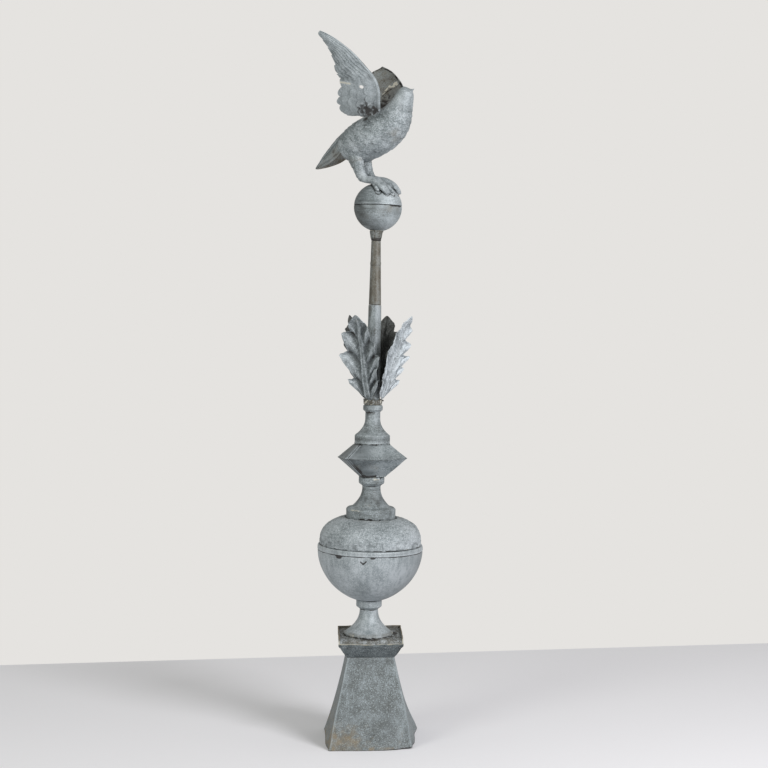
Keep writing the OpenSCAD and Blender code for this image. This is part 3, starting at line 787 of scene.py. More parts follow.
# --------------------------------------------------------------- pieces
class FINIAL_OT_pedestal(bpy.types.Operator):
    """Folded pedestal with lap seams, dents and a crushed corner"""

    bl_idname = "finial.pedestal"
    bl_label = "Pedestal"

    def execute(self, context):
        sizes = context.scene.finial_sizes
        high = box_mm("pedestal")[1]
        foot, top = high[0], 58.0
        # The lap seams' distance from the arrises, and the fold line's height.
        lap, fold = 7.4, 203.0

        def half(z):
            t = 1 - z / high[2]
            return top + (foot - top) * (0.78 * t + 0.22 * t**2.5)

        levels = [0, 1.5, 3.5, 6, 9] + list(np.arange(13, high[2] - 4, 4.5)) + [high[2] - 2.5, high[2] - 0.8]
        rows = (
            [(half(z), z) for z in levels]
            + [(top - 0.4, high[2]), (52, high[2]), (30, high[2]), (8, high[2])]
        )
        grid, edge, _, side = four_sided(rows)
        way = side_way(side)
        z = grid[..., 2]
        free = ease(edge, 2, 30) * (1 - ease(z, high[2] - 30, high[2] - 6))
        flank = np.isin(side, (1, 3))
        seam = hump(edge - lap, mm(sizes.seam_w) * 0.4) * flank * (z < high[2] - 1)
        band = hump(z - fold, 1.6) * (edge > 2)
        push = (
            (grain(grid, 62, 3) * 0.7 + grain(grid, 24, 4) * 0.3) * mm(sizes.dent) * free
            - 0.35 * mm(sizes.dent) * free
        )
        push += seam * mm(sizes.seam_h) + band * 0.35 - 0.3 * hump(z, 6)
        # Both front lower corners were knocked in, the right one hard enough to crease
        # the side, and the far right one is bent out.
        right = away_from(grid, (foot, -foot, 0), (1, 0.8, 0.8))
        left = away_from(grid, (-foot, -foot, 0), (1, 1, 0.8))
        behind = away_from(grid, (foot, foot, 0), (1, 0.8, 0.8))
        hit, tap = hump(right, 50), hump(left, 46)
        crease = hump(right - 48, 9) * patchy(grid, 22, 8) - 0.6 * hump(right - 70, 11)
        outer = grid + way * push[..., None]
        for here, knock in (
            (hit, np.array((-0.62, 0.75, 0.16)) * mm(sizes.crush)),
            (tap, np.array((9.0, 2.0, 0.0))),
            (hump(behind, 46), np.array((9.0, 0.0, 0.0))),
        ):
            outer += here[..., None] * knock
        outer += way * (crease * (z < 150))[..., None]
        outer[..., 2] = np.maximum(outer[..., 2], 0.0)
        inner = outer - facing(outer, True) * mm(sizes.sheet)
        inner[..., 2] = np.maximum(inner[..., 2], 0.0)
        patch = patchy(grid, 20, 12)
        wear = (
            0.3 * seam * patch + 0.3 * hump(edge, 1.6) * patch
            + 0.4 * hump(z - fold - 2, 2.5) * (side == 0) * patch
        )
        # The grime along the floor line is a painted contact shadow, and the grime in the crease's sunk ring
        # is painted shade.
        grime = (
            0.45 * hump(edge - lap - 3, 1.4) * flank * patch + 0.4 * hump(edge - lap + 2.8, 1.2) * flank
            + 0.9 * hump(z, 1.6)
        )
        grime += (
            0.3 * np.clip(-crease, 0, 1) * patch
            + 0.5 * (side == 0) * hump(z - 26, 6) * hump(grid[..., 0] + 22, 40) * patch
        )
        near = away_from(grid, (-86, -foot, 14), (0.8, 1, 1.1))
        streaky = grain(grid * (1, 1, 0.12), 5, 16)
        mottle = flecks(grid, 9, 17, -0.3, 0.6)
        stain = (
            0.62 * hump(near, 54) * (0.6 + 0.4 * mottle)
            + 0.3 * hump(grid[..., 0] - 88, 20) * ease(-z, -60, -10) * ease(streaky, 0, 0.7) * (side == 0)
            + 0.55 * hump(z - 4, 4) * mottle
            + 0.3 * ease(-z, -120, -20) * (0.4 + 0.6 * mottle) * ease(-grid[..., 0], -70, 20)
        )
        stain += (
            0.35 * hump(grid[..., 0] - 78 - 0.2 * z, 16) * ease(-z, -95, -20) * patch
            + 0.35 * (side == 3) * (0.4 + 0.6 * mottle)
        )
        cloudy = grain(grid, 38, 14)
        # Painted shade goes into the dent by the crushed corner and above the fold, with cloudy mottling low
        # down.
        shade_and_mottle = (
            0.3 * ease(cloudy, 0.1, 0.9) * ease(-z, -150, -60)
            + 0.35 * hump(grid[..., 0] - 40, 30) * hump(z - 70, 35) * (side == 0)
        )
        shade_and_mottle += 0.3 * ease(z, fold - 1, fold + 3) + 0.3 * hump(z - 30, 12) * patch * (side == 0)
        # Painted highlights go on the arrises, seams and fold, and on the right side, which faces the
        # brighter lamp, with chalk flecks; the back gets none.
        bloom = (
            0.2 * flecks(grid, 44, 15, 0.1, 0.8) * (z > 60) + 1.5 * hump(edge, 2.6) * (0.5 + patch)
            + 1.5 * seam * (0.5 + patch) + (0.2 * (side == 3) + 0.5 * (side == 1)) * (0.4 + 0.8 * mottle)
        )
        bloom += (
            0.8 * hump(z - (high[2] - 4), 2.2) * (side == 0) * patch
            + 0.5 * ease(streaky, 0.1, 0.7) * ease(grid[..., 0], 30, 80) * ease(-z, -110, -50) * (side == 0)
        )
        bloom += 0.75 * hump(grid[..., 0] - 80, 13) * hump(z - 42, 26) * patch * (side == 0)
        bloom = bloom * (side != 2)
        marks = {"wear": wear, "grime": grime, "stain": stain, "hollow": shade_and_mottle, "bloom": bloom}
        points, faces, sides = shell_capped(outer, inner)
        stand(
            "zinc_pedestal", points, faces, PLAIN,
            [finish("zinc_sheet_folded_speckled"), finish("zinc_sheet_folded_dark")], ["pedestal"],
            {k: two_sided(v) for k, v in marks.items()}, sides)
        return {"FINISHED"}


def shell_capped(outer, inner):
    """A ring sheet like shell(), its last ring closed on a pole."""
    rows, cols = outer.shape[:2]
    points, faces, sides = shell(outer, inner, True)
    base, last = rows * cols, (rows - 1) * cols
    keep = [(f, s) for f, s in zip(faces, sides) if not all(v % base >= last for v in f)]
    points = np.concatenate([points, [outer[-1].mean(0)], [inner[-1].mean(0)]])
    for j in range(cols):
        k = (j + 1) % cols
        keep.append(((last + j, last + k, 2 * base), 0))
        keep.append(((base + last + k, base + last + j, 2 * base + 1), 1))
    return points, [f for f, s in keep], [s for f, s in keep]


def two_sided(values):
    """Marks for a capped ring sheet's points: outer, weaker inner, and the two poles."""
    return np.concatenate([values.ravel(), 0.6 * values.ravel(), [0, 0]])


class FINIAL_OT_cap(bpy.types.Operator):
    """Flared cap whose front rim is bent down and torn, with dirt in its tray"""

    bl_idname = "finial.cap"
    bl_label = "Pedestal cap"

    def execute(self, context):
        sizes = context.scene.finial_sizes
        low, high = box_mm("pedestal_cap")
        half, neck, floor = high[0], 59.0, TRAY_Z
        z0, z1 = low[2], high[2]
        steps = np.linspace(0, 1, 13)
        flare = [(neck + (half - neck) * (t + 0.1 * math.sin(math.pi * t)), z0 + 39 * t) for t in steps]
        rows = [(3, z0), (30, z0), (neck - 2, z0), (neck - 0.5, z0 + 0.2)] + flare[1:-1]
        rows += [
            (half - 0.7, z0 + 38.2), (half, z0 + 40), (half, z0 + 43), (half, z0 + 47), (half, z0 + 50.5),
            (half - 0.2, z1 - 0.8)]
        rows += [
            (half - 0.9, z1), (half - 2.2, z1 - 0.1), (half - 2.9, z1 - 0.9), (half - 3, z1 - 2.6),
            (half - 3.2, z1 - 4), (half - 3.6, floor + 1), (half - 5.5, floor + 0.3), (half - 8, floor),
            (half - 11, floor), (half - 14, floor), (half - 17, floor), (half - 20, floor), (52, floor),
            (30, floor), (3, floor)]
        grid, edge, _, side = four_sided(rows, mids=30, inset=[0, 0.9, 2.2, 4, 6, 9])
        way = side_way(side)
        x, y, z = grid[..., 0].copy(), grid[..., 1].copy(), grid[..., 2].copy()
        far = np.maximum(np.abs(x), np.abs(y))
        upper = np.clip((z - (z1 - 27)) / 27, 0, 1)
        ripple = grain(grid * (1, 0.2, 0.2), 15, 21)
        # The front rim is beaten down, and the tray slopes down to it.
        front = ease(-y, 57, half - 2)
        drop = upper * front * (mm(sizes.lip_drop) * (0.86 + 0.14 * hump(x, 45)) + 1.1 * ripple)
        grid[..., 2] -= drop
        grid[..., 1] += upper * front * (1.6 * ripple - 1.2 * hump(x + 20, 30)) * (np.abs(y) > half - 5)
        grid[..., 2] += upper * (1 - front) * 0.8 * grain(grid, 24, 23)
        push = 0.9 * grain(grid, 34, 25) + 0.3 * grain(grid, 11, 26) - 0.7
        wall = (z > z0 + 0.5) * (far > 58) * (1 - (z < floor + 0.2) * (far < half - 4) * (z > floor - 0.5))
        grid += way * (push * wall)[..., None]
        inside = (far < half - 2.5) & (z > floor - 1)
        ring = np.hypot(x, y)
        patch = patchy(grid, 13, 27)
        fine = patchy(grid, 4.5, 28)
        grid[..., 2] += inside * (z < floor + 1) * (ring > 57) * fine * 1.3
        lip = hump(z - z1, 2.2) * (far > half - 3.4)
        wear = lip * (0.3 + 0.75 * front) * (0.3 + patch) + 0.25 * hump(edge, 1.2) * patch * (1 - inside)
        grime = (
            inside * (z < z1 - 2) * (0.1 + 0.5 * fine * patch + 0.5 * hump(ring - 63, 5))
            * (1 - 0.3 * front)
        )
        grime += (
            0.6 * hump(z - z0, 2.5) * (1 - inside)
            + 0.45 * (1 - inside) * front * hump(z - (z1 - 4.5), 2.6) * (0.3 + patch)
        )
        stain = (
            inside * (0.5 + 0.4 * patch) * (0.5 + 0.5 * hump(y - 75, 25)) + 0.95 * lip * (1 - front)
            + 0.7 * (side == 0) * hump(z - (z1 - 3), 4) * patch
        )
        # Painted shade goes inside the tray and at the ends of the front face, with mottling outside.
        shade_and_mottle = (
            (1 - inside) * (
                0.5 * flecks(grid, 22, 29, 0.0, 0.8) + 0.4 * ease(np.abs(x), 60, 90) * (side == 0))
            + 0.5 * inside * (1 - fine * 0.5)
        )
        bloom = (
            inside * (z < floor + 3) * ease(-y, 55, 74) * flecks(grid, 5, 30, -0.5, 0.4) * 0.7
            + (1 - inside) * 0.4 * flecks(grid, 9, 31, 0.3, 0.8)
        )
        points, faces = closed(grid)
        marks = poled(wear=wear, grime=grime, stain=stain, hollow=shade_and_mottle, bloom=bloom)
        middles = np.array([points[list(f)].mean(0) for f in faces])
        sides = (
            (np.abs(middles[:, :2]).max(1) < half - 3.5) & (middles[:, 2] > z1 - 25)).astype(int).tolist()
        stand(
            "zinc_cap", points, faces, PLAIN,
            [finish("zinc_sheet_folded_dark"), finish("zinc_tray_gritty")], ["pedestal_cap"],
            marks, sides)
        drops("cap_solder_drops", 61.0, TRAY_Z + 0.8, LEANING, 90, seed=3, size=1.9)
        return {"FINISHED"}


class FINIAL_OT_spools(bpy.types.Operator):
    """Three spun spools with their collars, necks and rings, and the solder ring"""

    bl_idname = "finial.spools"
    bl_label = "Spools"

    def execute(self, context):
        h = measure("foot_spool", LEANING)[1][2] - TRAY_Z
        foot, neck, ring = 61.3, 23.1, 32.3

        def foot_dress(p, a, marks, patch):
            z = p[..., 2]
            low = ease(-z, -5.5, -2.5)
            marks["grime"] += (
                0.75 * low * flecks(p, 5, 32, -0.5, 0.5) + 0.2 * low
                + 0.95 * hump(z - (h - 1.5), 2.6) * around(a, -95, 70) * (0.3 + patch)
            )
            marks["wear"] += 0.6 * low * flecks(p, 4, 38, 0.2, 0.7) + 0.3 * hump(z - 6, 1.4) * patch
            marks["stain"] += 0.6 * hump(z - 6, 5) * (0.5 + patch) + 0.25 * hump(z - h + 20, 8)
            return low * grain(p, 7, 39)

        turned(
            "zinc_foot_spool",
            [(0, 0), (foot, 0), (foot, 5)] + hollow(foot - 1, 6, neck, h - 25, 20, 2.3)
            + [(neck + 8.3, h - 19), (ring, h - 17), (ring, h - 3), (ring - 2, h), (0, h)], LEANING,
            (0, 0, TRAY_Z), "zinc_spun_pale", "foot_spool", wobble=0.5, dress=foot_dress,
            seed=1)

        z0, h = span("middle_spool", LEANING)
        collar, neck, ring, step = 61.8, 23.2, 32.2, 61.8 * 0.72

        def middle_dress(p, a, marks, patch):
            z = p[..., 2]
            r = np.hypot(p[..., 0], p[..., 1])
            chips = flecks(p * (1, 1, 0.4), 7, 31, 0.05, 0.5)
            marks["grime"] += 1.1 * hump(z - 3, 4.5) * around(a, -92, 42) * (0.45 + chips) * (r > 55)
            marks["grime"] += 0.95 * hump(z - h + 3, 4.5) * around(a, -35, 38) * (0.3 + chips)
            marks["wear"] += (
                0.9 * hump(z - h + 6, 2.5) * around(a, -70, 40) * patch
                + 0.4 * hump(z - 25, 3) * (r > 50) * patch
            )
            marks["stain"] += 0.35 * hump(z - 36, 9) * patch
            # Painted shade goes in the neck's hollow and a groove, with mottling; painted highlights go on
            # the collar and the rolled rings.
            marks["hollow"] = (
                0.6 * hump(z - 52, 16) * flecks(p * (0.5, 0.5, 1), 16, 24, -0.5, 0.6)
                + 0.35 * flecks(p, 10, 22, 0, 0.8) + 0.5 * hump(z - 74, 2.5)
            )
            marks["bloom"] = (
                0.6 * hump(z - 84, 3) * patch + 0.5 * hump(z - 27, 2.5) * patch
                + 0.4 * hump(z - 10, 6) * patch
            )
            return -1.2 * hump(z, 5) * around(a, -80, 25)

        turned(
            "zinc_middle_spool",
            [(0, 0), (collar - 1.5, 0), (collar, 2), (collar, 25), (collar - 4, 29), (step + 4, 31)]
            + hollow(step, 34, neck, h - 29, 20, 2.1)
            + [(neck, h - 24), (ring - 1, h - 18), (ring, h - 15), (ring, h - 3), (ring - 2, h), (0, h)],
            LEANING, (0, 0, z0), "zinc_spun_grey", "middle_spool", wobble=0.6,
            dress=middle_dress, seed=2)

        z0, h = span("upper_spool", UPPER)
        collar, neck, ring = 44.6, 18.7, 24.6

        def upper_dress(p, a, marks, patch):
            z = p[..., 2]
            chips = flecks(p * (1, 1, 0.4), 6, 33, 0.0, 0.5)
            # Painted highlights go on the collar's rolled bands and painted shade between them, with
            # mottling.
            marks["bloom"] = 0.8 * hump(z - 5, 3.4) * (0.4 + patch) + 0.6 * hump(z - 23, 2) * patch
            marks["hollow"] = (
                0.55 * hump(z - 13, 5) * (0.4 + patch) + 0.4 * flecks(p * (0.5, 0.5, 1), 7, 37, 0, 0.7)
            )
            marks["grime"] += hump(z - 0.5, 2.6) * (0.6 + 0.5 * around(a, -130, 60)) * (0.4 + chips)
            marks["grime"] += 0.45 * flecks(p * (1, 1, 0.35), 8, 34, 0.1, 0.7) * (z > 30) * (z < 80)

        turned(
            "zinc_upper_spool",
            [(0, 0), (collar - 1, 0), (collar, 2), (collar, 22), (collar - 4, 26)]
            + hollow(collar - 7, 28, neck, 65, 18, 2.2)
            + [(neck, h - 17), (ring - 1, h - 13), (ring, h - 11), (ring, h - 2), (ring - 2, h), (0, h)],
            UPPER, (0, 0, z0), "zinc_spun_grey", "upper_spool", wobble=0.5, dress=upper_dress,
            edge=0.3, seed=3)

        z0, h = span("solder_ring", UPPER)
        r = measure("solder_ring", UPPER)[1][0]

        def lumps(p, a, marks, patch):
            marks["grime"] += 0.5 * patch
            marks["wear"] += 0.9 * flecks(p, 6, 36, 0.35, 0.8)
            return 1.1 * grain(p, 7, 35) - 0.4

        turned(
            "solder_ring", [(0, 0), (r - 1.5, 0), (r, 3), (r - 0.5, h - 3), (r - 1, h), (0, h)], UPPER,
            (0, 0, z0), "solder_oxidised", "solder_ring", wobble=0.6, step=1.6, dress=lumps,
            seed=4)
        drops("leaf_solder_drops", r - 1.2, z0 + h - 0.5, UPPER, 46, seed=5)
        return {"FINISHED"}


class FINIAL_OT_banded_ball(bpy.types.Operator):
    """Spun bowl and rough dome of the large ball, with its band"""

    bl_idname = "finial.banded_ball"
    bl_label = "Banded ball"

    def execute(self, context):
        band_h, drop, n, big = 13.0, 132.0, 1.9, 131.5
        z0 = measure("ball_bowl", LEANING)[1][2] - band_h
        start = math.acos((38.3 / big) ** (n / 2))
        angles = np.linspace(start, 0, 30)
        curve = [(big * math.cos(a) ** (2 / n), -drop * math.sin(a) ** (2 / n)) for a in angles]
        curve[-1] = (big, 0)

        def bowl_dress(p, a, marks, patch):
            x, z = p[..., 0], p[..., 2]
            front = p[..., 1] < 0
            dashes = flecks(p * (1, 1, 0.3), 16, 41, -0.35, 0.35)
            marks["grime"] += (
                0.85 * hump(z + 0.6, 1.5) * (0.75 + 0.35 * dashes) + 0.3 * hump(z - 12, 2) * dashes
            )
            vee = hump(z + 18 - 0.9 * np.abs(x + 21), 2.6) * (np.abs(x + 21) < 8) * front
            blob = (
                hump(np.hypot((x + 80) * 0.55, z + 4.5), 4.2)
                + 0.8 * hump(np.hypot((x - 3) * 0.6, z + 2.5), 3.2)
            )
            marks["grime"] += 1.3 * vee + 1.3 * blob * front
            marks["stain"] += 0.35 * hump(z + 118, 14) * patch + 0.4 * hump(z + 3, 4) * patch
            # Painted shade goes low on the bowl, where it faces down, and the bowl is darkened on its right
            # side; a painted highlight runs along the band.
            marks["hollow"] = (
                0.3 * hump(z + 112, 22) * patch + 0.25 * hump(z - 6, 5) * dashes
                + 0.7 * around(a, 0, 52) * (z < -1)
            )
            marks["bloom"] = 0.45 * hump(z - 2.5, 2.0) * (0.3 + patch)
            return -2.6 * hump(np.hypot((x + 21) * 0.8, z + 14), 10) * front - 0.7 * hump(z + 0.6, 1.2)

        band = [(0.5, 0.5), (0.8, 3.2), (0.4, 4.6), (0.7, 6), (0.3, 10), (-0.9, 12.4), (-2, band_h)]
        turned(
            "zinc_ball_bowl", [(0, curve[0][1]), *curve, *((big + out, z) for out, z in band), (0, band_h)],
            LEANING, (0, 0, z0), "zinc_spun_pale", "ball_bowl", segs=300, wobble=0.7, step=2.6,
            dress=bowl_dress, edge=0.25, seed=6)

        z0, top = span("ball_dome", LEANING)
        r1 = 66.8
        dome_r, dome_h, n = 128.0, 73.0, 2.8
        radii = [dome_r + (r1 - dome_r) * (i / 26) ** 2 for i in range(27)]
        curve = [(r, dome_h * max(0, 1 - (r / dome_r) ** n) ** (1 / n)) for r in radii]

        def dome_dress(p, a, marks, patch):
            z, r = p[..., 2], np.hypot(p[..., 0], p[..., 1])
            dashes = flecks(p * (1, 1, 0.5), 15, 43, 0.0, 0.35)
            marks["grime"] += 0.7 * hump(z - 1.5, 2.2) * dashes + 0.5 * hump(r - 63.5, 3.0)
            marks["stain"] += (
                0.45 * hump(r - 72, 9) * (z > 40) * (0.4 + patch) + 0.15 * flecks(p, 26, 44, 0.0, 0.8)
            )
            marks["wear"] += 0.35 * flecks(p, 5, 45, 0.35, 0.8) * (z < 60)
            streak = hump(np.hypot((p[..., 0] + 22) * 0.35, z - 62), 7) * (p[..., 1] < 0)
            # Mostly mottling, with painted shade at the dome's foot and a faint painted highlight just above
            # it.
            marks["hollow"] = (
                0.75 * flecks(p, 6, 47, -0.1, 0.6) * hump(z - 8, 14) + 0.35 * flecks(p, 4.5, 40, 0.1, 0.7)
                + 0.6 * streak * patch + 0.3 * hump(z, 4)
            )
            marks["bloom"] = 0.3 * hump(z - 5.5, 2) * dashes
            return 0.7 * grain(p, 5, 46) + 0.5 * grain(p * (0.5, 0.5, 2), 6, 49)

        turned(
            "zinc_ball_dome", [(0, 0), *curve, (r1 - 4, top - 4), (0, top - 4)], LEANING, (0, 0, z0),
            "zinc_spun_rough", "ball_dome", segs=240, wobble=0.9, dress=dome_dress, seed=7)
        drops("dome_solder_drops", 63.5, z0 + top - 3.4, LEANING, 80, seed=8, size=2.0)
        return {"FINISHED"}


class FINIAL_OT_lozenge(bpy.types.Operator):
    """Square lozenge in two folded halves, with welts along its front left arris"""

    bl_idname = "finial.lozenge"
    bl_label = "Lozenge"

    def execute(self, context):
        sizes = context.scene.finial_sizes
        edge_z = measure("lozenge_lower", UPPER)[1][2]
        top_z = measure("lozenge_upper", UPPER)[1][2]
        wide, low_half, top_half = 77.5, 30.5, 41.0
        # It sits a little crooked between the spools.
        place = UPPER @ shift(0, 0, edge_z) @ turn("Y", -1.3) @ turn("X", -1.2) @ turn("Z", 5.75) @ shift(
            0, 0, -edge_z)
        t = np.linspace(0, 1, 22)
        lower = [(1, LOZENGE_Z - 1.4), (low_half - 1.2, LOZENGE_Z - 1.4), (low_half - 0.3, LOZENGE_Z - 1.2)]
        lower += [(low_half + (wide - low_half) * x, LOZENGE_Z + (edge_z - LOZENGE_Z) * x) for x in t[:-1]]
        lower += [
            (wide - 0.6, edge_z - 1.4), (wide, edge_z - 0.7), (wide - 1, edge_z), (60, edge_z), (1, edge_z)]
        upper = [
            (1, edge_z), (60, edge_z), (wide - 1, edge_z), (wide + 0.2, edge_z + 0.3),
            (wide + 0.1, edge_z + 1.2)]
        upper += [(wide + (top_half - wide) * x, edge_z + (top_z - edge_z) * x) for x in t[1:-1]]
        upper += [(top_half, top_z - 0.4), (top_half - 0.8, top_z), (30, top_z), (1, top_z)]
        for name, node, rows, seed in (
            ("zinc_lozenge_lower", "lozenge_lower", lower, 51),
            ("zinc_lozenge_upper", "lozenge_upper", upper, 56)
        ):
            grid, edge, across, side = four_sided(
                rows, mids=30, inset=[0, 0.8, 1.8, 3, 4.4, 5.8, 7.2, 8.8, 10.6])
            z = grid[..., 2]
            n = facing(grid, True)
            slope = np.abs(n[..., 2]) < 0.97
            left = ((side == 0) & (across < 0)) | ((side == 3) & (across > 0))
            push = slope * (0.8 * grain(grid, 40, seed) * ease(edge, 0, 20) - 0.5)
            welts = (hump(edge - 2.6, 1.5) + 0.8 * hump(edge - 7.6, 1.6)) * slope
            push += (
                mm(sizes.seam_h) * welts * (0.35 + 0.75 * left) - 0.6 * hump(edge - 5.1, 1.0) * left * slope
            )
            grid = grid + n * push[..., None]
            # The front edge of the belly sags between its corners.
            belly = (
                hump(z - edge_z, 16) * ease(-grid[..., 1], 20, wide - 4) * (z < top_z - 1) * (z > LOZENGE_Z)
            )
            grid[..., 2] += belly * (1.9 - 4.3 * (1 - across**2))
            patch = patchy(grid, 14, seed + 2)
            rim = hump(z - edge_z, 1.3) * (np.maximum(np.abs(grid[..., 0]), np.abs(grid[..., 1])) > wide - 3)
            marks = {
                "wear": 0.4 * welts * left * patch + 0.3 * hump(edge, 1.2) * slope * patch,
                "grime": 0.85 * hump(edge - 5.1, 1.1) * left + 0.62 * rim * (node == "lozenge_lower")
                    + 0.35 * hump(edge - 11, 2.0) * left * patch,
                "stain": 0.3 * flecks(grid, 30, seed + 3, 0.2, 0.8),
                # Painted highlights go on the welts and just above the belly's edge; painted shade goes on
                # the left facet and the front's left half, away from the brighter lamp, and beside the welts,
                # with mottling.
                "bloom": 0.6 * welts * left
                    + 0.5 * hump(z - edge_z - 3, 2.2) * slope * (node == "lozenge_upper") * patch
                    + 0.4 * flecks(grid, 26, seed + 6, 0.2, 0.8),
                "hollow": 0.5 * hump(edge - 13, 4) * left * slope * patch
                    + 0.35 * flecks(grid, 30, seed + 5, 0.1, 0.8) + 0.5 * (side == 3)
                    + 0.6 * (side == 0) * ease(-across, -0.3, 0.5),}
            if node == "lozenge_lower":
                marks["grime"] += (
                    0.85 * hump(edge - 9, 3.5) * left * ease(-z, -(edge_z - 8), -(edge_z - 22))
                    * (0.4 + 0.8 * patch)
                )
                marks["grime"] += (
                    0.85 * hump(z - LOZENGE_Z, 4.0)
                    * (0.5 + 0.7 * ((side == 0) & (across < 0.2)) + 0.5 * (side == 3)) * (0.4 + patch)
                )
                marks["grime"] += 0.25 * (side == 0) * hump(z - LOZENGE_Z - 12, 9)
            else:
                marks["grime"] += 0.8 * hump(z - top_z, 2.2) * patch
                marks["wear"] += 0.35 * hump(z - edge_z - 2, 1.6) * patch
            points, faces = closed(grid)
            stand(name, points, faces, place, [finish("zinc_sheet_lozenge")], [node],
                  poled(**marks))
        drops("lozenge_solder_drops", 43.5, top_z + 0.6, UPPER, 60, seed=9, size=1.9)
        drops("lozenge_foot_drops", 30.0, LOZENGE_Z - 0.6, LEANING, 40, seed=10, size=2.1)
        return {"FINISHED"}


# A leaf's outline on each side of its rib, from its foot up: place along the
# rib, and half width in mm. The lobes rise as they reach out.
LEAF_LEFT = [
    (0, 12), (0.015, 30), (0.04, 46), (0.075, 44), (0.11, 34), (0.153, 27), (0.19, 35), (0.24, 50),
    (0.29, 59), (0.33, 56), (0.37, 47), (0.425, 37), (0.47, 39), (0.53, 44), (0.60, 46), (0.64, 41),
    (0.68, 30), (0.71, 23), (0.75, 25), (0.785, 25.5), (0.83, 22.5), (0.88, 19.5), (0.93, 15), (0.97, 8.5),
    (1, 1)]
LEAF_RIGHT = [
    (0, 12), (0.012, 28), (0.035, 46), (0.07, 44), (0.10, 35), (0.128, 31), (0.16, 40), (0.195, 47),
    (0.22, 44), (0.24, 41), (0.283, 57), (0.32, 55), (0.36, 43), (0.395, 37), (0.43, 44), (0.467, 49),
    (0.51, 45), (0.56, 34), (0.61, 27), (0.66, 32), (0.707, 34), (0.75, 29), (0.80, 22), (0.87, 18.5),
    (0.93, 14), (0.97, 8), (1, 1)]
# Swell of the lobes along each side: 1 on a lobe's vein, 0 in the hollow that
# runs down from a notch.
SWELL_LEFT = [
    (0, 0.3), (0.04, 1), (0.10, 0.5), (0.153, 0), (0.21, 0.6), (0.29, 1), (0.36, 0.55), (0.425, 0),
    (0.50, 0.7), (0.59, 1), (0.65, 0.5), (0.71, 0), (0.75, 0.7), (0.785, 1), (0.85, 0.6), (1, 0.6)]
SWELL_RIGHT = [
    (0, 0.3), (0.035, 1), (0.09, 0.4), (0.128, 0), (0.16, 0.7), (0.195, 1), (0.24, 0.25), (0.283, 1),
    (0.34, 0.6), (0.395, 0), (0.43, 0.7), (0.467, 1), (0.54, 0.5), (0.61, 0), (0.66, 0.7), (0.707, 1),
    (0.76, 0.5), (0.81, 0.1), (0.9, 0.6), (1, 0.6)]


